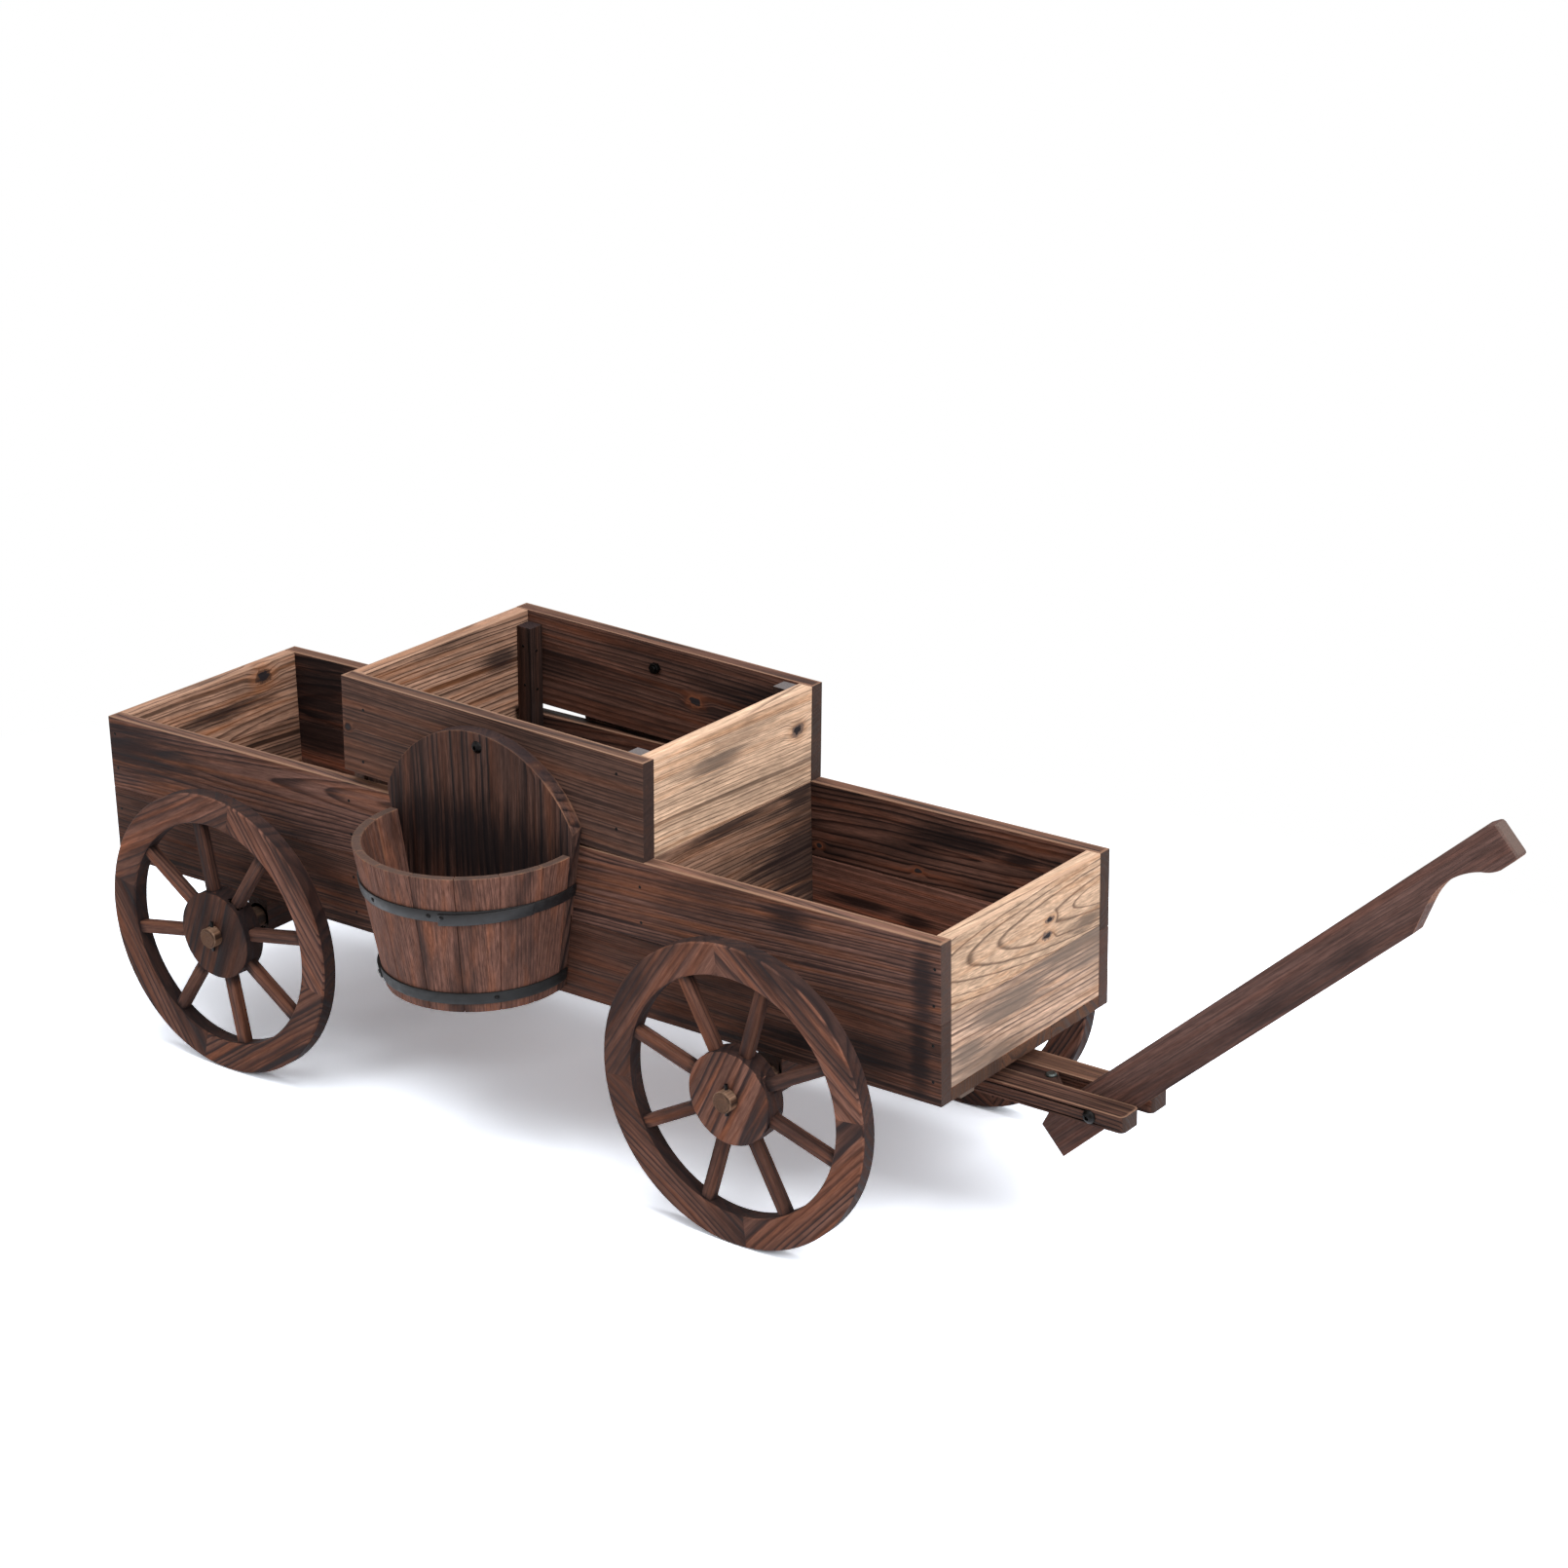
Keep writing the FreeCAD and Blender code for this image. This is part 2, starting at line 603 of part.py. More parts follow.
# Drawbar: two rails run from the front axle beam, with a filler strip that stops the handle
def build_drawbar():
    bolt_hole = "bolt_radius + bolt_clearance"
    rail_middle = "(slot_wide + rail_wide) / 2"
    for side, sign in SIDES.items():
        name = f"drawbar_rail_{side}"
        half, corner = "rail_wide / 2", "rail_corner_radius"
        rail = slab(name + "_strip", "XY_Plane", [
            (FRONT_BEAM_FACE_X, f"-{half}"), (f"{DRAWBAR_END_X} - {corner}", f"-{half}"),
            (DRAWBAR_END_X, f"-{half} + {corner}", corner, 1), (DRAWBAR_END_X, f"{half} - {corner}"),
            (f"{DRAWBAR_END_X} - {corner}", half, corner, 1), (FRONT_BEAM_FACE_X, half),
        ], "rail_tall")
        bore = rod(name + "_bore", bolt_hole, "rail_wide + 2 * overrun")
        put(bore, PIVOT_X, "rail_wide / 2 + overrun", "pivot_rise - rail_tall / 2")
        rail = node(cut(name, rail, [bore]), name)
        place(rail, "0", f"{sign} * {rail_middle}", f"{RAIL_FOOT_Z} + rail_tall / 2")

    # The filler's front end is sawn on the slant, and the handle's foot rests on its longer side
    tray_end = f"(tray_long / 2 - {FRONT_BEAM_FACE_X})"
    strip = slab("drawbar_filler_strip", "XY_Plane", [
        ("0", "-slot_wide / 2"), (f"{tray_end} + filler_reach", "-slot_wide / 2"),
        (f"{tray_end} + filler_far_reach", "slot_wide / 2"), ("0", "slot_wide / 2"),
    ], "rail_tall")
    shank_hole = doc.addObject("Part::Cylinder", "filler_shank_hole")
    shank_room = "screw_long + screw_clearance"
    bind(shank_hole, Radius="screw_radius + screw_clearance", Height=f"{shank_room} + overrun")
    put(shank_hole, f"{tray_end} + screw_reach", "0", f"rail_tall / 2 - ({shank_room})")
    filler = node(cut("drawbar_filler", strip, [shank_hole]), "drawbar_filler")
    place(filler, FRONT_BEAM_FACE_X, "0", f"{RAIL_FOOT_Z} + rail_tall / 2")

    screw = turned("filler_screw", [
        ("0", "-screw_long"), ("screw_radius", "-screw_long"), ("screw_radius", "0"),
        ("screw_head_radius", "0"), ("screw_head_radius", "screw_head_tall / 2"),
        ("screw_head_radius - screw_head_tall / 2", "screw_head_tall"), ("0", "screw_head_tall"),
    ])
    rail_top, upright = f"{RAIL_FOOT_Z} + rail_tall", FreeCAD.Vector(1, 0, 0)
    place(node(screw, "filler_screw"), "tray_long / 2 + screw_reach", "0", rail_top, upright, "90")


def hexagon(wide):
    """The corners of a hexagon of a given width across its flats."""
    reach = f"{wide} / 2 / cos(30)"
    return [(f"{reach} * cos({60 * index})", f"{reach} * sin({60 * index})") for index in range(6)]


def dome_bolt(label, under_head):
    """A dome-headed bolt along -Y, its head's flat underside at y = 0, with a six-sided socket."""
    dome = "(pow(bolt_head_radius; 2) + pow(bolt_head_tall; 2)) / (2 * bolt_head_tall)"
    bolt = turned(label, [
        ("0", f"-({under_head})"), ("bolt_radius", f"-({under_head})"), ("bolt_radius", "0"),
        ("bolt_head_radius", "0"),
        ("0", "bolt_head_tall", dome, 1),
    ])
    floor = new_sketch(bolt, label + "_socket_floor", "XZ_Plane")
    draw_outline(floor, hexagon("socket_wide"))
    floor.setExpression("AttachmentOffset.Base.z", formula("socket_deep - bolt_head_tall"))
    pocket = bolt.newObject("PartDesign::Pocket", label + "_socket")
    pocket.Profile = floor
    bind(pocket, Length="socket_deep + overrun")
    return bolt


def hex_nut(label):
    """A plain six-sided nut about Y."""
    bore = [("0", "0", "bolt_radius + bolt_clearance")]
    return slab(label, "XZ_Plane", hexagon("nut_wide"), "nut_tall", bore)


# Handle hung on the pivot bolt between the rails
def build_handle():
    heel_slope = "-heel_long + heel_slope_long"
    board = slab("handle", "XZ_Plane", [
        ("-heel_long", "-heel_low"), ("0", "-handle_low"), ("handle_long - grip_long", "-handle_low"),
        ("handle_long - hollow_long", "-hollow_start_low"),
        ("handle_long - swell_long", "-hollow_end_low", "hollow_radius", -1),
        ("handle_long - tip_flat_long", "-tip_low", "swell_radius", 1), ("handle_long", "-tip_low"),
        ("handle_long", "tip_high"), ("handle_long - tip_slope_long", "handle_high_tip"),
        (heel_slope, "handle_high"), ("-heel_long", "heel_high"),
    ], "handle_thick", [("0", "0", "bolt_radius + bolt_clearance")])
    place(node(board, "handle"), PIVOT_X, "0", PIVOT_Z, WHEEL_AXIS, "handle_rest")

    grip = f"(2 * ({RAIL_OUTER_Y} + washer_thick))"
    bolt = dome_bolt("pivot_bolt", f"{grip} + nut_tall + bolt_tail")
    place(node(bolt, "pivot_bolt"), PIVOT_X, f"-{grip} / 2", PIVOT_Z, UP, "180")
    nut = node(hex_nut("pivot_nut"), "pivot_nut")
    place(nut, PIVOT_X, f"({grip} + nut_tall) / 2", PIVOT_Z)
    washers = []
    for side, sign in SIDES.items():
        hole = "bolt_radius + bolt_clearance"
        washer = turned(f"washer_{side}", [
            (hole, "-washer_thick / 2"), ("washer_radius", "-washer_thick / 2"),
            ("washer_radius", "washer_thick / 2"), (hole, "washer_thick / 2"),
        ])
        place(washer, PIVOT_X, f"{sign} * ({RAIL_OUTER_Y} + washer_thick / 2)", PIVOT_Z)
        washers.append(washer)
    group("pivot_washers", washers)


# Half barrels: each is built about its cone's upright axis with the tray on its +Y side
def cone_radius(up):
    """The staves' outer radius at a height above the barrel's foot."""
    return f"(barrel_foot_radius + (barrel_top_radius - barrel_foot_radius) * ({up}) / barrel_tall)"


def place_barrel_piece(thing, side, x, y, z):
    """Put a piece that is built for the right barrel on either side of the cart."""
    sign = -SIDES[side]
    place(thing, f"barrel_x + {sign} * ({x})", f"-({sign}) * {BARREL_AXIS_Y} + {sign} * ({y})",
          f"{BARREL_FOOT_Z} + {z}", UP, f"{90 - 90 * sign}")


def build_back_board(label):
    slab_body = slab(label + "_slab", "XZ_Plane", [
        ("-arch_radius", "0"), ("arch_radius", "0"), ("arch_radius", "arch_lift"),
        ("0", "arch_lift + arch_radius", "arch_radius", 1), ("-arch_radius", "arch_lift", "arch_radius", 1),
    ], "back_board_thick", [("hanging_bolt_side", "hanging_bolt_lift", "bolt_radius + bolt_clearance")])
    put(slab_body, "0", "barrel_set + back_board_thick / 2", "0")
    cone = doc.addObject("Part::Cone", label + "_cone")
    top = "arch_lift + arch_radius"
    bind(cone, Radius1="barrel_foot_radius", Radius2=cone_radius(top), Height=top)
    board = doc.addObject("Part::Common", label)
    board.Base = slab_body
    board.Tool = cone
    return board


def build_staves(label):
    body = new_body(label)
    stave_angle = "((180 + 2 * stave_spare_angle) / stave_count)"
    sketch = new_sketch(body, label + "_section", "YZ_Plane")
    draw_outline(sketch, [
        ("-barrel_foot_radius", "0"), ("-barrel_foot_radius + stave_thick", "0"),
        ("-barrel_top_radius + stave_thick", "barrel_tall"), ("-barrel_top_radius", "barrel_tall"),
    ])
    sketch.AttachmentOffset = FreeCAD.Placement(
        FreeCAD.Vector(), FreeCAD.Rotation(FreeCAD.Vector(0, -1, 0), 1))
    sketch.setExpression("AttachmentOffset.Rotation.Angle", formula("90 + stave_spare_angle"))
    stave = body.newObject("PartDesign::Revolution", label + "_stave")
    stave.Profile = sketch
    stave.ReferenceAxis = (sketch, ["V_Axis"])
    bind(stave, Angle=f"{stave_angle} - stave_gap / barrel_top_radius * 180 / pi")
    repeat(body, label + "_round", [stave], "Z_Axis", "stave_count", f"{stave_angle} * (stave_count - 1)")
    flat = new_sketch(body, label + "_flat", "XY_Plane")
    reach = "(barrel_top_radius + overrun)"
    draw_outline(flat, [
        (f"-{reach}", "barrel_set"), (reach, "barrel_set"), (reach, reach), (f"-{reach}", reach),
    ])
    pocket = body.newObject("PartDesign::Pocket", label + "_seat")
    pocket.Profile = flat
    pocket.Midplane = True
    bind(pocket, Length="2 * (barrel_tall + overrun)")
    return body


def build_base(label):
    cone = doc.addObject("Part::Cone", label + "_disc")
    low, high = "base_lift", "base_lift + base_thick"
    room = "stave_thick - base_gap"
    bind(cone, Radius1=f"{cone_radius(low)} - {room}", Radius2=f"{cone_radius(high)} - {room}")
    bind(cone, Height="base_thick")
    beyond = box(label + "_beyond", "2 * barrel_top_radius", "barrel_top_radius", "base_thick + 2 * overrun")
    put(beyond, "-barrel_top_radius", "barrel_set", "-overrun")
    return cut(label, cone, [beyond])


def build_hoop(label, lift):
    body = new_body(label)
    low, high = f"({lift} - hoop_tall / 2)", f"({lift} + hoop_tall / 2)"
    inner_low, inner_high = f"{cone_radius(low)} + hoop_gap", f"{cone_radius(high)} + hoop_gap"
    sketch = new_sketch(body, label + "_section", "YZ_Plane")
    draw_outline(sketch, [
        (f"-({inner_low})", low), (f"-({inner_high})", high),
        (f"-({inner_high} + hoop_thick)", high), (f"-({inner_low} + hoop_thick)", low),
    ])
    band = body.newObject("PartDesign::Revolution", label + "_band")
    band.Profile = sketch
    band.ReferenceAxis = (sketch, ["V_Axis"])
    band.Midplane = True
    bind(band, Angle=f"180 deg + 2 * asin(hoop_reach / ({inner_high} + hoop_thick))")
    return body


def build_barrels():
    bolts, nuts = [], []
    for side in SIDES:
        name = f"barrel_{side}"
        board = node(build_back_board(name + "_back_board"), name + "_back_board")
        place_barrel_piece(board, side, "0", "0", "0")
        staves = node(build_staves(name + "_staves"), name + "_staves")
        place_barrel_piece(staves, side, "0", "0", "0")
        base = node(build_base(name + "_base"), name + "_base")
        place_barrel_piece(base, side, "0", "0", "base_lift")
        for level in ("upper", "lower"):
            label = f"{name}_hoop_{level}"
            hoop = node(build_hoop(label, f"{level}_hoop_lift"), label)
            place_barrel_piece(hoop, side, "0", "0", "0")
        bolt = dome_bolt(f"hanging_bolt_{side}", "back_board_thick + board_thick + nut_tall + bolt_tail")
        put(bolt, "0", "0", "0", UP, "180")
        facing = doc.addObject("Part::Compound", f"hanging_bolt_{side}_facing")
        facing.Links = [bolt]
        place_barrel_piece(facing, side, "hanging_bolt_side", "barrel_set", "hanging_bolt_lift")
        bolts.append(facing)
        nut = hex_nut(f"hanging_nut_{side}")
        behind = "barrel_set + back_board_thick + board_thick + nut_tall / 2"
        place_barrel_piece(nut, side, "hanging_bolt_side", behind, "hanging_bolt_lift")
        nuts.append(nut)
    group("barrel_bolts", bolts)
    group("barrel_nuts", nuts)


build_tray()
build_dividers()
build_crate()
build_wheels()
build_axles()
build_bolster()
build_drawbar()
build_handle()
build_barrels()
doc.recompute()

for item in doc.Objects:
    if "Invalid" in item.State or "Error" in item.State:
        raise RuntimeError(f"{item.Label} failed: {item.State}")
for item in nodes:
    if item.Shape.isNull() or not item.Shape.isValid():
        raise RuntimeError(f"{item.Label} has no valid shape")

os.makedirs("parts", exist_ok=True)
for item in nodes:
    item.Shape.exportStep(f"parts/{item.Label}.step")
print(len(nodes), "nodes written")
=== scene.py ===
# %% [markdown]
# # A wooden cart that holds plants
#
# The cart is a long tray of carbonised fir in three compartments, on four spoked wheels, with an
# open crate over its middle, a half barrel on each side and a hinged handle in front. The solid
# model gives every board its size and place. This file adds what the saw, the flame, the wire
# brush and the weather did to the wood, and the black iron that holds it.

import json
import math
import random
from types import SimpleNamespace

import bmesh
import bpy
from mathutils import Matrix, Vector
from mathutils.bvhtree import BVHTree

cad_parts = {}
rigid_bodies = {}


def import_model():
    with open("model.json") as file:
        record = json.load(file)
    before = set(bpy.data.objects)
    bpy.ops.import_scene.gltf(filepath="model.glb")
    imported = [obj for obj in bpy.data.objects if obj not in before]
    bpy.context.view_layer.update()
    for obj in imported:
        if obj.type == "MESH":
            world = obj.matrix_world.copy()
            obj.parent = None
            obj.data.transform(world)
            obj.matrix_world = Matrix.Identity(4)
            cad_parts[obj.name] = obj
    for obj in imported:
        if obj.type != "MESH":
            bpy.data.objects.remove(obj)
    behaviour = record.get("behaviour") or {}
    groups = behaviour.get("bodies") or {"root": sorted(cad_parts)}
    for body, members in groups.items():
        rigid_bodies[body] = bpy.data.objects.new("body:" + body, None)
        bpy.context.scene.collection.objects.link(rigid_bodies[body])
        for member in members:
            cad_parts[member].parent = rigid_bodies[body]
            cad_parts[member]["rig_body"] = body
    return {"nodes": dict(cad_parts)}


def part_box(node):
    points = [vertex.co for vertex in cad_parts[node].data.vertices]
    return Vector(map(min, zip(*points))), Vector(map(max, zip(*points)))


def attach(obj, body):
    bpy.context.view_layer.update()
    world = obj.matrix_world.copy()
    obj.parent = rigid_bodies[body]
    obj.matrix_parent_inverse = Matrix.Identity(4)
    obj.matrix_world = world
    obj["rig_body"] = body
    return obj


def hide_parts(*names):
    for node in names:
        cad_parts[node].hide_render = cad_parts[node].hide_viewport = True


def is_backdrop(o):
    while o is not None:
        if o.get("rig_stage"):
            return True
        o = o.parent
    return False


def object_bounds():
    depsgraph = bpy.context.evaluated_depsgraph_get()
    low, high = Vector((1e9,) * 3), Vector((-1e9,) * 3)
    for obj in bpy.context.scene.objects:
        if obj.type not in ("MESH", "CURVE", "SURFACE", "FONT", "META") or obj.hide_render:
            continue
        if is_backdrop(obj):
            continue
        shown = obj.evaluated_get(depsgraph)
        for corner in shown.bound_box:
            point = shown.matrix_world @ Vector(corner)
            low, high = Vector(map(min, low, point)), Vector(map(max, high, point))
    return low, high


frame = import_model()
cad_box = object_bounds()
MM = 0.001

# %% [markdown]
# ## Camera
#
# The photograph was taken from the cart's front right corner, a little above it, with a long
# lens that keeps the far boards almost as large as the near ones. The camera stands where the
# straight edges of the tray and the crate fall on those of the photograph.

# %% Camera
CAMERA_AT = Vector((1.4553, -1.8827, 1.1892))
YAW, PITCH, ROLL = (math.radians(angle) for angle in (37.52, 20.8, -1.13))
LENS, SENSOR = 81.74, 36  # millimetres: a long lens on a full-frame sensor
AIM = Vector((0, 0, 0.2))  # the middle of the cart


def place_object(name, data):
    """Make an object of a mesh, a lamp or a camera and put it in the scene."""
    thing = bpy.data.objects.new(name, data)
    bpy.context.scene.collection.objects.link(thing)
    return thing


camera = place_object("camera", bpy.data.cameras.new("camera"))
camera.data.sensor_width, camera.data.lens = SENSOR, LENS
back = Vector((math.sin(YAW) * math.cos(PITCH), -math.cos(YAW) * math.cos(PITCH), math.sin(PITCH)))
level = Vector((math.cos(YAW), math.sin(YAW), 0))
upright = back.cross(level)
right = level * math.cos(ROLL) + upright * math.sin(ROLL)
up = upright * math.cos(ROLL) - level * math.sin(ROLL)
camera.matrix_world = Matrix.Translation(CAMERA_AT) @ Matrix((right, up, back)).transposed().to_4x4()
bpy.context.scene.camera = camera
bpy.context.scene.view_settings.view_transform = "Standard"
print("camera", round((CAMERA_AT - AIM).length, 2), "m from the cart")

# %% [markdown]
# ## Functions for nodes and colours
#
# Every material below is a chain of nodes. Written out in full each node takes five lines, so one
# function adds a node, sets its options and links its inputs, and a few short ones name what the
# chains do most: multiply, turn one range into another, lay one colour over another. Colours are
# written as the eye reads them, in sRGB hex, and turned to the linear values that light is worked
# out in.


# %% Helpers for nodes and colours
def add(tree, kind, inputs=None, take=0, **options):
    """Add a node, feed its inputs with values or with other outputs, and give back one output."""
    node = tree.nodes.new(kind if kind.startswith("Node") else "ShaderNode" + kind)
    for option, value in options.items():
        setattr(node, option, value)
    for name, value in (inputs or {}).items():
        if isinstance(value, bpy.types.NodeSocket):
            tree.links.new(value, node.inputs[name])
        else:
            node.inputs[name].default_value = value
    return node.outputs[take] if len(node.outputs) else node


def maths(tree, operation, *values):
    """Work something out from one to three values."""
    return add(tree, "Math", dict(enumerate(values)), operation=operation)


def times(tree, value, factor, plus=None):
    """Two values multiplied, and a third one added if there is one."""
    if plus is None:
        return maths(tree, "MULTIPLY", value, factor)
    return maths(tree, "MULTIPLY_ADD", value, factor, plus)


SOFT = "SMOOTHSTEP"  # a ramp without corners


def ramp(tree, value, start, end, low=0.0, high=1.0, step="LINEAR"):
    """What goes from start to end comes out from low to high."""
    return add(tree, "MapRange", {"Value": value, 1: start, 2: end, 3: low, 4: high}, interpolation_type=step)


def cover(tree, share, under, over, **options):
    """Cover one colour with a share of another."""
    return add(tree, "Mix", {0: share, 6: under, 7: over}, take=2, data_type="RGBA", **options)


def three_values(tree, name):
    """The three values of an attribute that a piece's points carry."""
    carried = add(tree, "Attribute", take="Vector", attribute_name=name)
    parts = add(tree, "SeparateXYZ", {0: carried}, take="X").node
    return [parts.outputs[axis] for axis in "XYZ"]


def linear(hex_colour):
    """Turn an sRGB hex colour into linear red, green, blue and alpha."""
    channels = [int(hex_colour[i:i + 2], 16) / 255 for i in (1, 3, 5)]
    return [c / 12.92 if c <= 0.04045 else ((c + 0.055) / 1.055) ** 2.4 for c in channels] + [1]


def blank_material(name):
    """A new material with an empty tree."""
    material = bpy.data.materials.new(name)
    material.use_nodes = True
    material.node_tree.nodes.clear()
    return material, material.node_tree


print("mid grey #808080 is", round(linear("#808080")[0], 3), "in linear light")

# %% [markdown]
# ## Floor and light
#
# The floor is plain white paper under soft studio lamps. The room's light is even, the main lamp
# stands in front of the cart's drawbar end, so that the end boards are bright and the long sides
# lie in half shade, as in the photograph. Seen by the camera, or mirrored in the iron, the paper
# is whiter than it is for the light that it throws back, and it fades to pure white away from the
# cart. Close to the cart it keeps the shadow.

# %% Floor
FLOOR_SIZE = 30.0
SHADOW_REACH = (0.70, 0.42)  # metres along and across the cart within which the shadow is kept whole
SHADOW_GONE = 1.8  # times that reach, where the paper is pure white
LIT_PAPER, SEEN_PAPER = linear("#d8d8da"), (1.85, 1.95, 2.1, 1)
floor_mesh = bpy.data.meshes.new("floor")
half = FLOOR_SIZE / 2
corners = [(-half, -half, 0), (half, -half, 0), (half, half, 0), (-half, half, 0)]
floor_mesh.from_pydata(corners, [], [(0, 1, 2, 3)])
floor = place_object("floor", floor_mesh)


def seen_rays(tree):
    """1 for rays from the camera and for rays mirrored or let through on their way to it."""
    path = add(tree, "LightPath", take="Is Camera Ray").node.outputs
    mirrored = maths(tree, "MAXIMUM", path["Is Glossy Ray"], path["Is Transmission Ray"])
    return maths(tree, "MAXIMUM", path["Is Camera Ray"], mirrored)


paper, tree = blank_material("white_paper")
seen = seen_rays(tree)
white = cover(tree, seen, LIT_PAPER, SEEN_PAPER)
sheet = add(tree, "BsdfDiffuse", {"Color": white})
shrink = (1 / SHADOW_REACH[0], 1 / SHADOW_REACH[1], 0)
place = add(tree, "NewGeometry", take="Position")
place = add(tree, "VectorMath", {0: place, 1: shrink}, operation="MULTIPLY")
away = add(tree, "VectorMath", {0: place}, take="Value", operation="LENGTH")
away = ramp(tree, away, 1.0, SHADOW_GONE, step=SOFT)
away = times(tree, away, seen)
glow = add(tree, "Emission", {"Color": (1, 1, 1, 1), "Strength": 1.0})
blend = add(tree, "MixShader", {0: away, 1: sheet, 2: glow})
add(tree, "OutputMaterial", {"Surface": blend})
floor_mesh.materials.append(paper)
floor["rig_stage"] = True
print("floor", FLOOR_SIZE, "m wide")

# %% Room light and lamps
ROOM_LIGHT, ROOM_SEEN = 0.5, 1.0
world = bpy.data.worlds.new("studio")
bpy.context.scene.world = world
world.use_nodes = True
world.node_tree.nodes.clear()
tree = world.node_tree
strength = add(tree, "Mix", {0: seen_rays(tree), 2: ROOM_LIGHT, 3: ROOM_SEEN}, data_type="FLOAT")
room = add(tree, "Background", {"Color": (1, 1, 1, 1), "Strength": strength})
add(tree, "OutputWorld", {"Surface": room})

LAMPS = {
    # name: (place, width in metres, watts)
    "window_front": ((2.6, -0.4, 2.3), 1.8, 75),
    "soft_box_above": ((0.2, -0.6, 3.2), 2.4, 60),
    "soft_box_side": ((-1.2, -3.2, 1.8), 1.6, 22),
}
for name, (place, width, watts) in LAMPS.items():
    lamp = bpy.data.lights.new(name, "AREA")
    lamp.shape, lamp.size, lamp.energy = "SQUARE", width, watts
    holder = place_object(name, lamp)
    holder.location = place
    holder.rotation_euler = (Vector(place) - AIM).to_track_quat("Z", "Y").to_euler()
print(len(LAMPS), "lamps")

# %% [markdown]
# ## The figure of carbonised fir
#
# Fir grows a pale soft layer in spring and a thin hard one in late summer. A board sawn from the
# log shows the edges of these layers: straight lines where they stand on edge, pointed arches
# where the saw ran along them, and arcs on the end grain. Painting lines on each face would
# never join up at the edges, so the layers are made in the round. Every piece carries the place
# in the log that it was sawn from as an attribute called `log`, in millimetres, with the pith
# along X, and one node group turns that place into late wood, fibre, soot and knots. Two more
# attributes say how the tree grew and how the flame passed: `growth` is the width of a year's
# layer and the wander of the pith in millimetres, and how thin the late wood is; `fire` is the
# tone of the piece, how far it is burnt and how strongly its lines stand out.

# %% Node group: what the log gives
figure = bpy.data.node_groups.new("fir_log", "ShaderNodeTree")
FIGURE = ("Late wood", "Fibre", "Dash", "Blotch", "Streak", "Knot", "Ring", "Halo", "Scorch and shade")
for name in FIGURE:
    figure.interface.new_socket(name, in_out="OUTPUT", socket_type="NodeSocketFloat")
log = add(figure, "Attribute", take="Vector", attribute_name="log")
year_width, drift, thinness = three_values(figure, "growth")

# Knots and scorched places, some of which are painted shade, are attributes too, counted in their own sizes
# from their middles
SPOT_KINDS, SPOTS_EACH = ("knot", "scorch and shade"), 3
spot_near = {}
for kind in SPOT_KINDS:
    for index in range(SPOTS_EACH):
        away = add(figure, "Attribute", take="Vector", attribute_name=f"{kind}_{index}")
        reach = add(figure, "VectorMath", {0: away}, take="Value", operation="LENGTH")
        if kind in spot_near:
            reach = maths(figure, "MINIMUM", reach, spot_near[kind])
        spot_near[kind] = reach
print("at most", SPOTS_EACH, "knots and", SPOTS_EACH, "scorches on a piece")

# %% Node group: uneven growth
PATTERNS = {
    # name: (millimetres along the fibres, millimetres across them, detail, roughness)
    "wander": (170, 70, 1.5, 0.5),   # the pith strays by some millimetres over a hand's length
    "shiver": (42, 14, 2.0, 0.5),    # and no layer is quite even
    "fibre": (70, 1.8, 3.0, 0.65),   # finer than this fibres vanish at the photograph's distance
    "dash": (11, 1.4, 2.0, 0.6),     # the brush's wires leave short dashes
    "chip": (6, 4, 2.0, 0.6),        # knots have torn outlines
    "streak": (230, 7, 2.0, 0.5),    # resin and soot follow the fibres in long streaks
    "blotch": (150, 24, 3.0, 0.55),  # the flame stood longer here, less long there
}
pattern = {}
for name, (along, across, detail, roughness) in PATTERNS.items():
    per_mm = (1 / along, 1 / across, 1 / across)
    scaled = add(figure, "VectorMath", {0: log, 1: per_mm}, operation="MULTIPLY")
    pattern[name] = add(figure, "TexNoise", {
        "Vector": scaled, "Scale": 1, "Detail": detail, "Roughness": roughness},
        take="Color" if name in ("wander", "shiver") else "Fac")

SHIVER = 1.1  # millimetres
bent = log
for name, sway in (("wander", drift), ("shiver", SHIVER)):
    off = add(figure, "VectorMath", {0: pattern[name], 1: (0.5, 0.5, 0.5)}, operation="SUBTRACT")
    off = add(figure, "VectorMath", {0: off, "Scale": sway}, operation="SCALE")
    bent = add(figure, "VectorMath", {0: bent, 1: off}, operation="ADD")
across = add(figure, "VectorMath", {0: bent, 1: (0, 1, 1)}, operation="MULTIPLY")
radius = add(figure, "VectorMath", {0: across}, take="Value", operation="LENGTH")
# The layers bow out round a knot by up to 3 mm
swirl = ramp(figure, spot_near["knot"], 0.6, 3.2, 3.0, 0.0, "SMOOTHERSTEP")
radius = maths(figure, "ADD", radius, swirl)
print(len(PATTERNS), "patterns of uneven growth")

# %% Node group: layers, knots and scorched places
# Good and bad summers make wide and narrow layers; the hard late wood ends sharply
years = maths(figure, "DIVIDE", radius, year_width)
summers = add(figure, "TexNoise", {"W": years, "Scale": 0.45, "Detail": 1}, noise_dimensions="1D")
years = times(figure, summers, 2.2, years)
season = maths(figure, "FRACT", years)
turning = times(figure, thinness, 0.5, 0.25)
ripening = ramp(figure, season, turning, 0.9, step=SOFT)
ending = ramp(figure, season, 0.92, 1.0, 1.0, 0.0)
late = times(figure, ripening, ending)

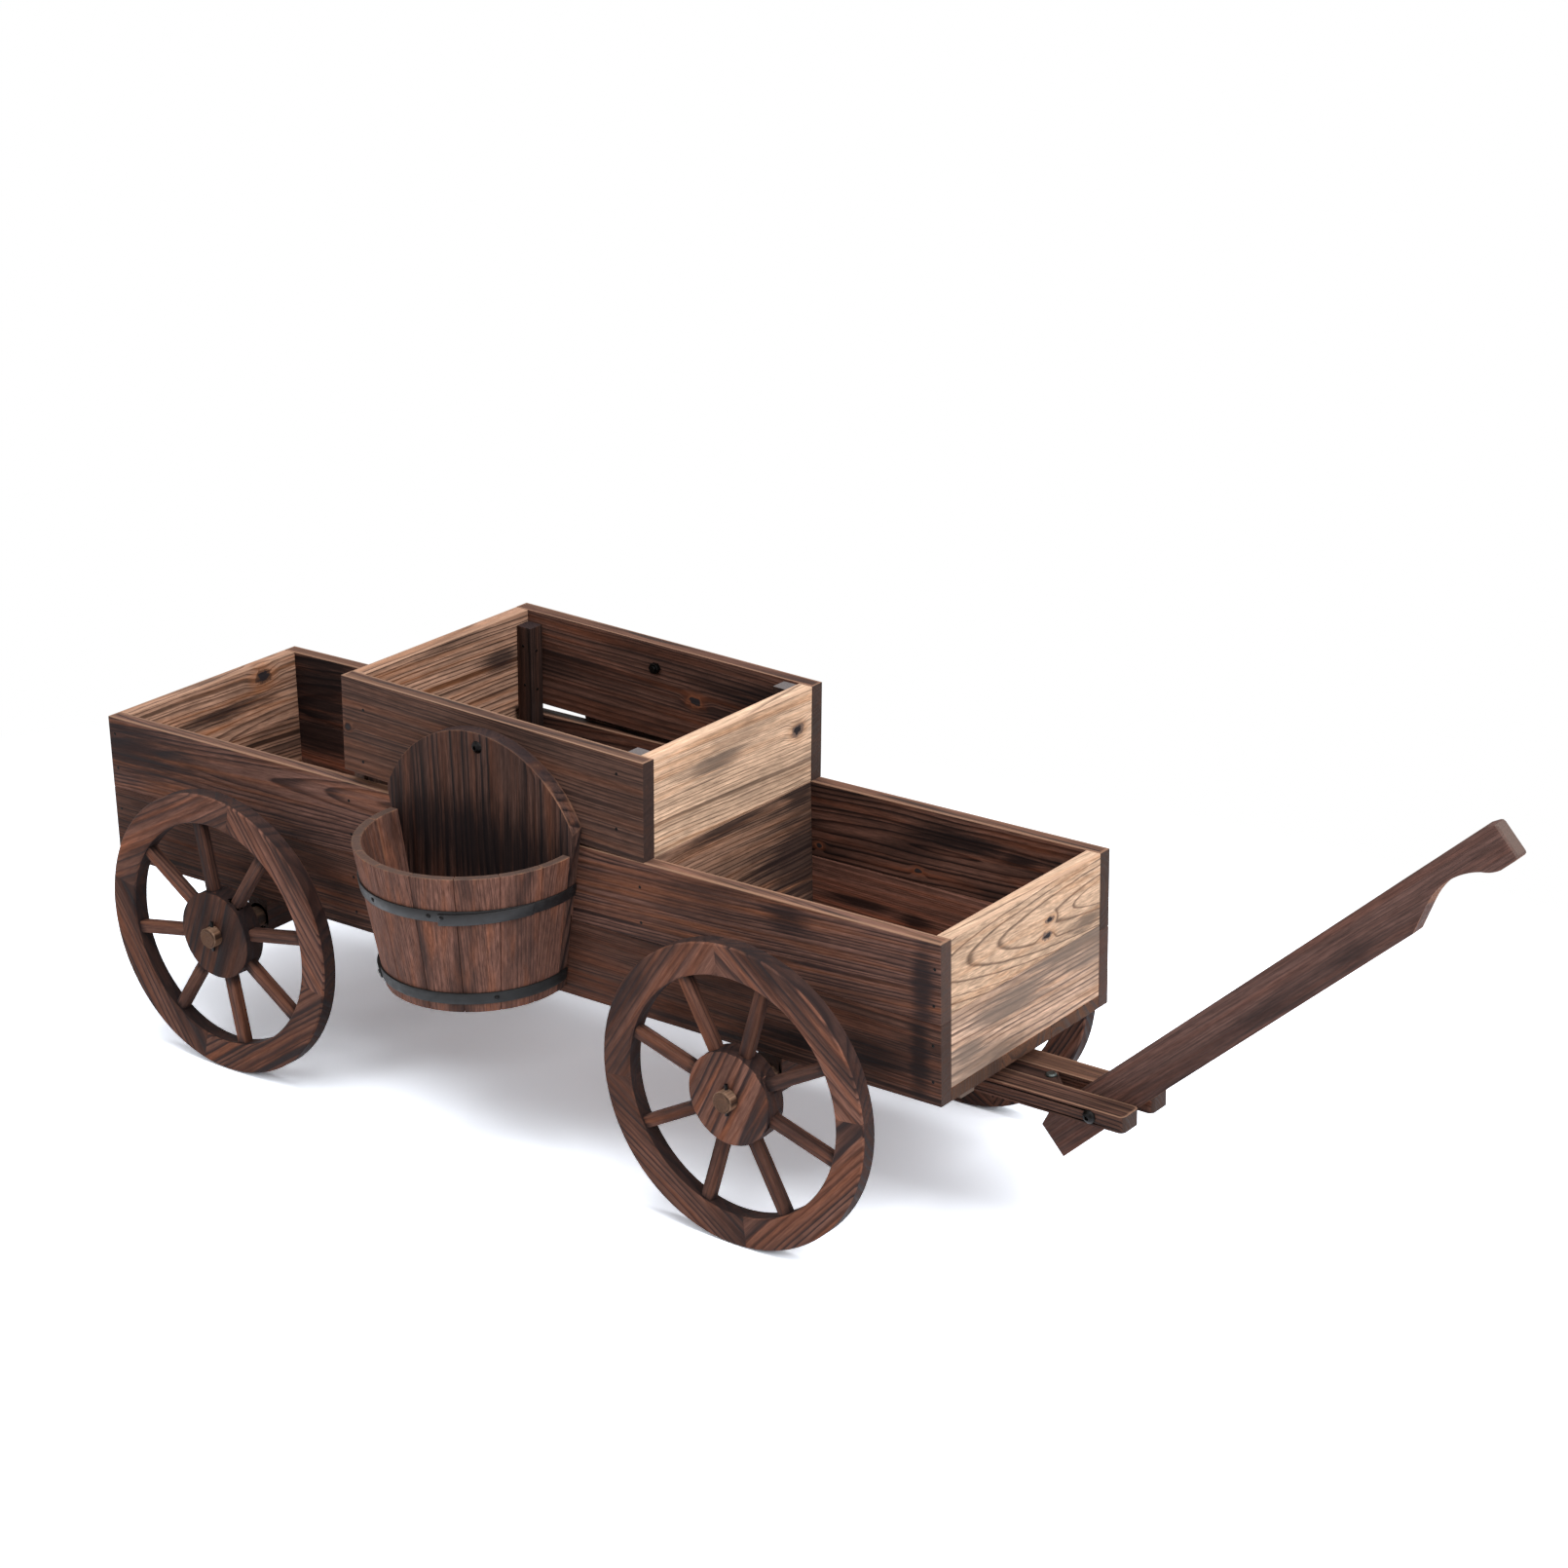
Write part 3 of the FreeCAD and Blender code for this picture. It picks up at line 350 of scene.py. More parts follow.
ragged = times(figure, pattern["chip"], 1.6, spot_near["knot"])
frayed = times(figure, pattern["streak"], 1.3, spot_near["scorch and shade"])
frayed = times(figure, pattern["fibre"], 0.9, frayed)
SPOT_PARTS = {
    # name: (distance, where it is gone, where it is whole), counted in the spot's own sizes
    "Knot": (ragged, 1.65, 1.35),
    "Ring": (ragged, 2.1, 1.8),
    "Halo": (ragged, 3.3, 1.9),
    "Scorch and shade": (frayed, 2.3, 1.35),
}
given = {"Late wood": late}
for name in ("Fibre", "Dash", "Blotch", "Streak"):
    given[name] = pattern[name.lower()]
for name, (distance, gone, whole) in SPOT_PARTS.items():
    given[name] = ramp(figure, distance, gone, whole, 0.0, 1.0, SOFT)
add(figure, "NodeGroupOutput", given)
print("fir_log has", len(figure.nodes), "nodes")

# %% [markdown]
# ## Wood finishes
#
# The boards are fir that was passed through a flame and brushed with wire: the soft spring wood
# burns first and is brushed out, so it lies a little lower and lighter, the late wood stands as
# fine dark ridges, and where the flame stood longer there are soft patches of soot. Hands and
# crates rub the soot off the upper edges again. End grain drinks rain and turns grey. The
# finishes differ in their colours; how far each board is burnt is its own `fire` attribute.


# %% Brushed wood
def brushed(tree, part, tone, contrast, spring, summer, warm):
    """Spring and summer wood, with warm resin streaks, darker and lighter fibres and clouds."""
    lines = times(tree, part["Late wood"], contrast)
    wood = cover(tree, lines, linear(spring), linear(summer))
    resin = ramp(tree, part["Streak"], 0.48, 0.72, 0.0, 0.6)
    wood = cover(tree, resin, wood, linear(warm))
    hair = ramp(tree, part["Fibre"], 0.25, 0.75, 0.55, 1.45)
    dash = ramp(tree, part["Dash"], 0.3, 0.7, 0.78, 1.24)
    hair = times(tree, hair, dash)
    cloud = ramp(tree, part["Blotch"], 0.3, 0.7, 1.16, 0.86)
    shade = times(tree, tone, hair)
    shade = times(tree, shade, cloud)
    return cover(tree, 1.0, wood, shade, blend_type="MULTIPLY")


# %% Soot
def sooty_and_shaded(tree, part, burnt, wood, soot):
    """Soot where the flame stood, and most of it where the flame stood longest; where a scorched patch stands
    for shade, this is painted shade.
    """
    soot_and_shade = times(tree, part["Fibre"], 0.16, part["Blotch"])
    soot_and_shade = times(tree, burnt, 0.35, soot_and_shade)
    soot_and_shade = ramp(tree, soot_and_shade, 0.64, 0.98, 0.0, 0.85, SOFT)
    # scorched patches darken to the soot colour; those on the barrel back boards and behind the hubs are
    # painted shade
    scorched_and_shaded = times(tree, part["Scorch and shade"], 0.85)
    soot_and_shade = maths(tree, "MAXIMUM", soot_and_shade, scorched_and_shaded)
    return cover(tree, soot_and_shade, wood, linear(soot))


# %% Wear and knots
CHARRED = "#2a2527"  # the middle of a knot is hard, and burns to charcoal


def worn_and_knotty(tree, part, wood, rubbed, end, ring, warm):
    """Rubbed edges, the weathered end grain, and knots in their halo of resin."""
    rub = add(tree, "Attribute", take="Fac", attribute_name="rubbed")
    sawn_across = add(tree, "Attribute", take="Fac", attribute_name="end_grain")
    edge = times(tree, part["Streak"], 0.9, rub)
    edge = ramp(tree, edge, 0.72, 1.3, 0.0, 0.75, SOFT)
    wood = cover(tree, edge, wood, linear(rubbed))
    pores = ramp(tree, sawn_across, 0.6, 0.8, 0.0, 0.8)
    wood = cover(tree, pores, wood, linear(end))
    stain = times(tree, part["Halo"], 0.4)
    wood = cover(tree, stain, wood, linear(warm))
    torn = times(tree, part["Ring"], 0.85)
    wood = cover(tree, torn, wood, linear(ring))
    return cover(tree, part["Knot"], wood, linear(CHARRED))


# %% Carbonised fir
RIDGE_HEIGHT = 0.35 * MM  # of the hard late wood over the brushed spring wood


def carbonised_fir(name, spring, summer, soot, rubbed, end, ring, warm):
    """Fir that was burnt and brushed; the colours are those of its parts."""
    material, tree = blank_material(name)
    part = add(tree, "Group", node_tree=figure).node.outputs
    tone, burnt, contrast = three_values(tree, "fire")
    wood = brushed(tree, part, tone, contrast, spring, summer, warm)
    wood = sooty_and_shaded(tree, part, burnt, wood, soot)
    wood = worn_and_knotty(tree, part, wood, rubbed, end, ring, warm)
    # The hard lines are smoother than the brushed wood between them, and all of it is matt
    rough = ramp(tree, part["Late wood"], 0.0, 1.0, 0.84, 0.62)
    ridge = times(tree, part["Late wood"], 0.7, part["Fibre"])
    relief = add(tree, "Bump", {"Strength": 0.5, "Distance": RIDGE_HEIGHT, "Height": ridge})
    surface = add(tree, "BsdfPrincipled", {
        "Base Color": wood, "Roughness": rough, "Normal": relief, "Specular IOR Level": 0.12})
    add(tree, "OutputMaterial", {"Surface": surface})
    return material


# The tan, pale and smoky finishes go on the boards that face the main lamp, and their paleness is partly
# painted light.
FINISH_COLOURS = {
    # name: (spring wood, summer wood, soot, rubbed, end grain, ring round a knot, resin)
    "side": ("#684b42", "#2b1d1b", "#1f191b", "#997761", "#483b36", "#241b1a", "#7c4b32"),
    "crate": ("#5a4239", "#2a1d1a", "#1e1717", "#9c7a64", "#352a28", "#241b1a", "#694230"),
    "inside": ("#63463c", "#261815", "#110d0f", "#93715d", "#3f332f", "#724632", "#71402a"),
    "tan": ("#b38c76", "#463228", "#1f181a", "#a7846e", "#594a46", "#4c3529", "#a66a43"),
    "pale": ("#ceae94", "#6a5344", "#6f6056", "#c19f87", "#5e4e47", "#6e5c54", "#ba8862"),
    "smoky": ("#b99b87", "#57443c", "#74665d", "#a98e7b", "#5c4b42", "#3a2f2a", "#9b7356"),
    "floor": ("#80563f", "#1f1310", "#150e0d", "#7c5a46", "#42332c", "#2a1b16", "#8c5532"),
    "wheel": ("#6a4a3f", "#291b19", "#1a1517", "#715446", "#211a1b", "#33231e", "#7a472f"),
    "barrel": ("#6d4d43", "#3d2922", "#221d1e", "#a87c5e", "#4e403a", "#33241f", "#7a4b36"),
    "back": ("#44312b", "#1a1313", "#110d10", "#8b644e", "#2f2526", "#5a4234", "#553426"),
    "handle": ("#5e4640", "#2e2221", "#1d1819", "#8a604a", "#665852", "#5c3a2e", "#644238"),
    "post": ("#4f3a31", "#2a1d18", "#191314", "#6d564a", "#726c6c", "#2a1d18", "#5f3b29"),
    "dowel": ("#94745f", "#3a2a22", "#1d1614", "#b39580", "#5a4235", "#4a3022", "#80553d"),
}
FINISHES = {
    name: carbonised_fir(f"carbonised_fir_{name}", *colours) for name, colours in FINISH_COLOURS.items()}
print(len(FINISHES), "finishes of fir")

# %% [markdown]
# ## Sawing the pieces out of the log
#
# A solid's edges are perfectly sharp, which no brushed board's are. Each wooden piece is a copy
# of its solid with the edges rounded by under a millimetre, inside the solid's own outline. A
# ring of points a few millimetres in from each edge bounds where the soot is rubbed off, and
# each face says how squarely it cuts the fibres. A modifier could round the edges too, but only
# a mesh of its own can carry the attributes that the wood reads. What faces upward is worn most.

# %% Sawing helpers
EDGE_RADIUS = 0.7 * MM
RUB_WIDTH = 2.2 * MM
SHARP = math.radians(25)
WELD = 1e-6  # metres within which two points are one
FLAT = math.radians(0.5)
CHAMFERS = (0.3, 0.9)  # how far a wheel's broken edges face along the axle
UPPER_EDGE = (0.1, 0.5)  # how far up a rounded edge faces where the wear begins, and where it is whole
UPPER_FACE = 0.4  # how far up a face looks that is worn as an upper one
X, Y, Z = Vector((1, 0, 0)), Vector((0, 1, 0)), Vector((0, 0, 1))
dice = random.Random(7)
sawn_pieces = []


def grown(along, facing, pith=(0, 30), lean=(1, 0.5), growth=(3, 8, 0.3), fire=(1, 0.4, 0.8),
          knots=(), scorches=()):
    """How a piece lies in its log.

    along is the way of its fibres and facing its broad face; pith is how far the log's axis lies
    across and under its middle in millimetres, and lean how far the axis tilts in degrees. Each knot
    and each scorched patch, some of which are painted shade, is (middle, size along, size across), all in
    millimetres.
    """
    return SimpleNamespace(along=along.normalized(), facing=facing.normalized(), pith=pith, lean=lean,
                           growth=growth, fire=fire, knots=knots, scorches=scorches)


def same_cut(**how):
    """One way of sawing for every solid of a node."""
    return lambda index, centre: grown(**how)


def mesh_of(node):
    """A copy of a node's mesh to work on, with its corners welded."""
    bm = bmesh.new()
    bm.from_mesh(frame["nodes"][node].data)
    bmesh.ops.remove_doubles(bm, verts=bm.verts, dist=WELD)
    return bm


def finished(name, bm, material):
    """Make an object of a mesh that was worked on."""
    mesh = bpy.data.meshes.new(name)
    bm.to_mesh(mesh)
    bm.free()
    mesh.materials.append(material)
    return place_object(name, mesh)


def solids_of(bm):
    """The separate solids of a mesh, as lists of vertices."""
    left = set(bm.verts)
    while left:
        found, edge_of = set(), [min(left, key=lambda v: v.index)]
        while edge_of:
            vert = edge_of.pop()
            if vert not in found:
                found.add(vert)
                edge_of.extend(e.other_vert(vert) for e in vert.link_edges)
        left -= found
        yield sorted(found, key=lambda v: v.index)


def middle_of(verts):
    """The mean of some vertices' places."""
    return sum((vert.co for vert in verts), Vector()) / len(verts)


print("edges are rounded by", round(EDGE_RADIUS / MM, 1), "mm")


# %% Where each point was in the log
LOG_STEP, SOLID_STEP = 730.0, 170.0  # millimetres along the log between pieces, and between their solids
SPOT_DEPTH = 14  # millimetres that a knot or a scorch reaches into the board
NO_SPOT = (Vector((90, 90, 90)), 5, 5)  # in the air under the tray, where there is no wood


def place_in_board(centre, wood):
    """The matrix from the cart, in metres, to the board: along its fibres, across and outward, in mm."""
    sideways = wood.facing.cross(wood.along)
    turn = Matrix((wood.along, sideways, wood.facing)).to_4x4()
    return Matrix.Scale(1 / MM, 4) @ turn @ Matrix.Translation(-centre)


def place_in_log(wood, start):
    """The matrix from the board to the log."""
    tilt, sway = (math.radians(angle) for angle in wood.lean)
    tip = Matrix.Rotation(tilt, 4, "Y") @ Matrix.Rotation(sway, 4, "Z")
    return Matrix.Translation(Vector((start, *wood.pith))) @ tip


def note_growth(bm, cut, piece_number):
    """Write on every point of the mesh where in the log it was and what happened to it there."""
    layers = {name: bm.verts.layers.float_vector.new(name) for name in ("log", "growth", "fire")}
    spots = {kind: [bm.verts.layers.float_vector.new(f"{kind}_{index}") for index in range(SPOTS_EACH)]
             for kind in SPOT_KINDS}
    end = bm.faces.layers.float.new("end_grain")
    for index, verts in enumerate(solids_of(bm)):
        centre = middle_of(verts)
        wood = cut(index, centre)
        to_board = place_in_board(centre, wood)
        to_log = place_in_log(wood, LOG_STEP * piece_number + SOLID_STEP * index)
        for vert in verts:
            on_board = to_board @ vert.co
            vert[layers["log"]] = to_log @ on_board
            vert[layers["growth"]] = wood.growth
            vert[layers["fire"]] = wood.fire
            for kind, given in (("knot", wood.knots), ("scorch and shade", wood.scorches)):
                filled_up = list(given) + [NO_SPOT] * SPOTS_EACH
                for layer, (middle, size_along, size_across) in zip(spots[kind], filled_up):
                    off = on_board - to_board @ (Vector(middle) * MM)
                    vert[layer] = (off.x / size_along, off.y / size_across, off.z / SPOT_DEPTH)
        for face in {f for v in verts for f in v.link_faces}:
            face[end] = abs(face.normal.dot(wood.along))


# %% Rounding and rubbing
def rounded(bm, edges, radius, steps=2):
    """Round some edges, and give back the faces that this makes."""
    made = bmesh.ops.bevel(bm, geom=edges, offset=radius, segments=steps, profile=0.5, affect="EDGES",
                           clamp_overlap=True)
    return set(made["faces"])


def is_broad(face, least_width):
    """Whether a face is wide enough to have a middle that hands don't reach."""
    return face.calc_area() / max(edge.calc_length() for edge in face.edges) > least_width


def rub_off(bm, rounding, rub_width, chamfered, least_width, worn_up, worn):
    """Write on each point how far the soot is rubbed off, in a narrow band along every edge."""
    rub = bm.verts.layers.float.new("rubbed")
    bm.normal_update()
    upper_edge, upper_face, other_edge = worn
    begins, whole = UPPER_EDGE
    for vert in bm.verts:
        upward = min(max((vert.normal.dot(worn_up) - begins) / (whole - begins), 0), 1)
        vert[rub] = other_edge + (upper_edge - other_edge) * upward
    flats = [face for face in bm.faces if face not in rounding and is_broad(face, least_width)
             and not (chamfered and CHAMFERS[0] < abs(face.normal.y) < CHAMFERS[1])]
    bmesh.ops.inset_region(bm, faces=flats, thickness=rub_width, use_boundary=True, use_even_offset=True)
    bm.normal_update()
    for face in flats:
        level = upper_face if face.normal.dot(worn_up) > UPPER_FACE else 0
        for vert in face.verts:
            vert[rub] = level


# %% Sawing
def saw(node, finish, cut, radius=EDGE_RADIUS, rub_width=RUB_WIDTH, chamfered=False, worn_up=Z,
        worn=(1.0, 0.6, 0.1), sooty_sides=False, shape=None, least_width=0):
    """Copy a node's solids, round their edges and note where in the log each was sawn.

    worn is how far the soot is rubbed off the upper edges, the upper faces and the other edges. A
    chamfered piece keeps its broken edges whole, sooty sides are as dark as end grain all round, and
    shape is a function that works on the bare solids first. Faces under least_width are worn all over.
    """
    bm = mesh_of(node)
    bmesh.ops.dissolve_limit(bm, angle_limit=FLAT, verts=bm.verts, edges=bm.edges)
    if shape:
        shape(bm)
    sharp = [e for e in bm.edges if len(e.link_faces) == 2 and e.calc_face_angle() > SHARP]
    rounding = rounded(bm, sharp, radius)
    rub_off(bm, rounding, rub_width, chamfered, least_width, worn_up, worn)
    note_growth(bm, cut, len(sawn_pieces))
    if sooty_sides:
        end = bm.faces.layers.float["end_grain"]
        for face in bm.faces:
            face[end] = 1.0 if abs(face.normal.y) < CHAMFERS[0] else 0.0
    for face in bm.faces:
        face.smooth = True
    piece = finished(node + "_wood", bm, FINISHES[finish])
    even = piece.modifiers.new("even_shading", "WEIGHTED_NORMAL")
    even.keep_sharp = True
    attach(piece, frame["nodes"][node]["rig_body"])
    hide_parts(node)
    sawn_pieces.append(piece.name)


print("the saw is ready; what faces upward is worn most")

# %% [markdown]
# ## Tray and crate
#
# Boards for such a cart are 12 mm thick and are used as they come, so some are flat-sawn, with
# arches, and some are quarter-sawn, with straight lines. The long sides were burnt dark, the end
# boards hardly at all, and the paler finishes of the boards that face the main lamp are partly painted light.
# One material could be given to all, but then the boards would look alike,
# so a table says for each how it was sawn, how far the flame went, and where its knots are.

# %% Boards of the tray and the crate
TILT = math.radians(1.94)
CRATE_X = Vector((math.cos(TILT), 0, -math.sin(TILT)))
CRATE_Z = Vector((math.sin(TILT), 0, math.cos(TILT)))
BOARDS = {
    # node: (finish, along, facing, pith, lean, growth, fire)
    "side_board_right_upper": ("side", X, -Y, (-23.6, 5), (2.0, -2.55), (2.8, 6, 0.0), (1.0, 0.08, 0.95)),
    "side_board_right_lower": ("inside", X, -Y, (60, 20), (0.6, 0.8), (2.6, 7, 0.0), (0.74, 0.3, 0.9)),
    "side_board_left_upper": ("inside", X, -Y, (6, 8), (3.2, -1.2), (4.5, 12, 0.1), (0.92, 0.4, 1.05)),
    "side_board_left_lower": ("inside", X, -Y, (60, 16), (0.5, 1.0), (2.6, 6, 0.0), (1.35, 0.1, 0.6)),
    "end_board_front_upper": ("pale", Y, X, (-2, 12), (6.0, 2.0), (4.4, 5, 0.9), (0.84, 0.1, 0.9)),
    "end_board_front_lower": ("smoky", Y, X, (34, 14), (3.0, 3.0), (4.0, 12, 0.6), (1.14, 0.5, 0.95)),
    "end_board_rear_upper": ("tan", Y, X, (30, 20), (3.0, 2.5), (3.2, 10, 0.4), (0.92, 0.2, 0.8)),
    "end_board_rear_lower": ("tan", Y, X, (46, 12), (1.0, 3.0), (3.8, 12, 0.4), (0.8, 0.5, 1.0)),
    "floor_board_right": ("floor", X, Z, (30, 10), (1.5, 0.6), (4, 16, 0.2), (0.75, 0.4, 0.7)),
    "floor_board_middle": ("floor", X, Z, (0, 9), (2.5, 1.2), (9, 30, 0.2), (1.2, 0.1, 1.0)),
    "floor_board_left": ("floor", X, Z, (14, 10), (-2.5, 1.2), (9, 34, 0.2), (1.3, 0.1, 1.0)),
    "divider_front": ("tan", Y, X, (40, 22), (1.5, 1.2), (3.0, 10, 0.6), (0.60, 0.4, 0.85)),
    "divider_rear": ("tan", Y, -X, (44, 12), (1.0, 2.0), (3.4, 10, 0.4), (0.7, 0.5, 0.9)),
    "crate_board_right": ("crate", CRATE_X, -Y, (58, 18), (0.8, 0.8), (2.8, 6, 0.0), (0.94, 0.12, 0.85)),
    "crate_board_left": ("inside", CRATE_X, -Y, (64, 18), (0.8, 0.8), (3.4, 8, 0.0), (0.85, 0.45, 0.8)),
    "crate_board_front": ("pale", Y, CRATE_X, (56, 20), (0.8, 1.6), (2.7, 7, 0.8), (1.05, 0.0, 0.8)),
    "crate_board_rear": ("tan", Y, CRATE_X, (52, 20), (1.2, 1.4), (3.4, 8, 0.5), (0.86, 0.12, 1.0)),
    "axle_beam_front": ("side", Y, X, (10, 24), (1, 1), (3, 8, 0.1), (0.7, 0.5, 0.8)),
    "axle_beam_rear": ("side", Y, X, (14, 24), (1, 1), (3, 8, 0.1), (0.7, 0.5, 0.8)),
    "front_bolster": ("smoky", Y, X, (14, 24), (1, 1), (3, 8, 0.3), (0.6, 0.4, 0.9)),
    "drawbar_rail_right": ("inside", X, Z, (26, 16), (1, 1), (2.4, 6, 0.1), (0.78, 0.35, 1.0)),
    "drawbar_rail_left": ("inside", X, Z, (22, 16), (1, 1), (2.4, 6, 0.1), (0.7, 0.35, 1.0)),
    "drawbar_filler": ("inside", X, Z, (12, 26), (1, 1), (2.8, 6, 0.1), (0.6, 0.5, 0.9)),
}
for post in ("front_right", "front_left", "rear_right", "rear_left"):
    BOARDS["corner_post_" + post] = ("post", CRATE_Z, -Y, (12, 20), (1, 1), (2.6, 6, 0.1), (0.8, 0.5, 0.7))
# One post, in the darkest corner, gets the dark finish of the barrel backs and a low tone
BOARDS["corner_post_rear_left"] = ("back", CRATE_Z, -Y, (12, 20), (1, 1), (2.6, 6, 0.1), (0.6, 0.5, 0.9))
print(len(BOARDS), "boards, posts and beams to saw")

# %% Knots and scorched places
KNOTS = {
    # node: ((middle, size along, size across) ...), in millimetres
    "end_board_front_upper": (((218, 27, 223.4), 4.6, 2.2), ((218, 24, 212.2), 6.0, 2.8)),
    "crate_board_front": (((-34, 75, 296.5), 6.4, 4.6),),
    "crate_board_left": (((-145, 92.5, 292.2), 6.4, 4.4),),
    "crate_board_right": (((-317.7, -104.5, 295.8), 3.0, 2.4),),
    "side_board_left_upper": (((-29.5, 92.5, 201), 3.4, 2.4), ((61, 92.5, 200.8), 3.6, 2.4)),
    "end_board_rear_upper": (((-570, 54.5, 240.2), 8.0, 6.0),),
    "barrel_right_back_board": (((-124.8, -116.5, 311.5), 4.5, 3.2),),
}
SCORCHES = {
    "side_board_right_upper": (((89, -104.5, 240), 30, 14), ((203, -104.5, 215), 12, 46),
                               ((-560, -104.5, 225), 90, 28)),
    "side_board_right_lower": (((200, -104.5, 165), 12, 46), ((120, -104.5, 150), 90, 11)),
    "side_board_left_upper": (((-545, 92.5, 222), 72, 56), ((100, 92.5, 233), 60, 10),
                              ((150, 92.5, 229), 24, 8)),
    "side_board_left_lower": (((-548, 92.5, 182), 60, 26), ((10, 92.5, 164), 40, 6),
                              ((58, 92.5, 158), 24, 10)),
    "end_board_front_upper": (((218, 78, 206), 30, 8),),
    "end_board_front_lower": (((218, -18, 178), 60, 16), ((218, -72, 160), 30, 14), ((218, 50, 190), 60, 8)),
    "end_board_rear_upper": (((-570, 10, 222), 80, 8),),
    "divider_front": (((-36, 86, 196), 84, 70), ((-36, 78, 246), 30, 20), ((-36, -10, 246), 60, 7)),
    "crate_board_front": (((-34, -22, 301), 42, 9), ((-34, 76, 298), 10, 8)),
    "crate_board_rear": (((-310, 60, 303), 28, 12),),
    "crate_board_left": (((-60, 92.5, 300), 80, 20),),
}
print(sum(map(len, KNOTS.values())), "knots,", sum(map(len, SCORCHES.values())), "scorched places")

# %% Sawing the boards
POST_SLIMMER = 0.3  # share of their width that the posts have lost to the plane
POST_RISE = 7.5 * MM  # of the front ones, up to the top of the crate's front board
UNDER_TOP = 2 * MM


def post_shape(front, left):
    """A post is planed thinner than its place in the corner allows; the front ones stand a little higher."""
    def shape(bm):
        outer_x = (max if front else min)(vert.co.dot(CRATE_X) for vert in bm.verts)
        outer_y = (max if left else min)(vert.co.y for vert in bm.verts)
        top = max(vert.co.z for vert in bm.verts)
        for vert in bm.verts:
            if front and vert.co.z > top - UNDER_TOP:
                vert.co += CRATE_Z * POST_RISE
            vert.co += CRATE_X * (outer_x - vert.co.dot(CRATE_X)) * POST_SLIMMER
            vert.co.y += (outer_y - vert.co.y) * POST_SLIMMER
    return shape


POST_SHAPES = {
    f"corner_post_{end}_{side}": post_shape(end == "front", side == "left")
    for end in ("front", "rear") for side in ("right", "left")}
for node, (finish, along, facing, pith, lean, growth, fire) in BOARDS.items():
    cut = same_cut(along=along, facing=facing, pith=pith, lean=lean, growth=growth, fire=fire,
                   knots=KNOTS.get(node, ()), scorches=SCORCHES.get(node, ()))
    crate = "crate" in node or "post" in node
    on_top = any(word in node for word in ("upper", "crate", "divider", "rail"))
    saw(node, finish, cut, worn_up=CRATE_Z if crate else Z,
        worn=(1.05, 0.42, 0.1) if on_top else (0.15, 0.1, 0.1), shape=POST_SHAPES.get(node))
print(len(sawn_pieces), "pieces sawn")

# %% [markdown]
# ## Wheels
#
# Each rim is four felloes with the grain along the chord, butted end to end. Eight square spokes
# with broken edges go into it, and into a hub that is sawn round from a board. Felloes are sawn
# from whatever board is at hand: one has wide striking bands, the next hardly any figure. A node
# holds all felloes of a wheel, so a function finds each one's fibres from its place about the hub.

# %% Felloes
FELLOE_BOARDS = (
    # (width of a year's layer in mm, tone, burnt, contrast), from the right above, anticlockwise
    (4.2, 1.2, 0.3, 0.9), (4.8, 1.04, 0.5, 0.8), (4.4, 0.86, 0.6, 0.95), (4.0, 1.0, 0.35, 1.15),
)


def felloe_cut(middle):
    def cut(index, centre):
        out = (centre - middle).normalized()
        quarter = int(math.degrees(math.atan2(out.z, out.x)) % 360 // 90)
        year, tone, burnt, contrast = FELLOE_BOARDS[quarter]
        pith = (dice.uniform(14, 50), dice.uniform(10, 24))
        lean = (dice.uniform(-3, 3), dice.uniform(-6, 6))
        fire = (tone * dice.uniform(0.92, 1.08), burnt, contrast)
        return grown(Vector((out.z, 0, -out.x)), -Y, pith, lean, (year, 9, 0.1), fire)
    return cut


FELLOE_GAP = 0.3 / 114  # radians between the solids' felloes: 0.3 mm on a radius of 114 mm


def angle_about_axle(out, towards):
    """How far one direction leads the other, about the axle."""
    return math.atan2(out.x * towards.z - out.z * towards.x, out.x * towards.x + out.z * towards.z)


def butt_felloes(middle):
    """Cramps draw the felloes together, so that no light shows through the joints."""
    def shape(bm):
        for verts in solids_of(bm):
            towards = middle_of(verts) - middle
            turns = {vert: angle_about_axle(vert.co - middle, towards) for vert in verts}
            for end, way in ((min(turns.values()), -1), (max(turns.values()), 1)):
                closing = Matrix.Rotation(way * FELLOE_GAP / 2, 3, "Y")
                for vert in (vert for vert, turn in turns.items() if abs(turn - end) < FELLOE_GAP):
                    vert.co = middle + closing @ (vert.co - middle)
    return shape


print(len(FELLOE_BOARDS), "felloes to a rim")


# %% Spokes and hubs
SPOKE_ENDS = (92, 36)  # millimetres from the axle, at the rim and at the hub
RIM_ONLY = 0.6  # share of the spokes that are burnt at the rim alone
HUB_RADIUS = 34.9 * MM
WITHIN_OUTLINE = 30 * MM  # the bore and the mortises lie within this radius
CLOSE = 1e-5  # metres from the hub's flat face


def spoke_cut(middle):
    def cut(index, centre):
        out = (centre - middle).normalized()
        ends = [(((middle + out * reach * MM) / MM), 9, 30) for reach in SPOKE_ENDS]
        pith = (dice.uniform(6, 20), dice.uniform(10, 30))
        fire = (dice.uniform(0.7, 1.1), 0.4, 0.7)
        burnt = ends[:1] if dice.random() < RIM_ONLY else ends
        return grown(out, -Y, pith, (1, 1), (3.2, 6, 0.1), fire, scorches=burnt)
    return cut


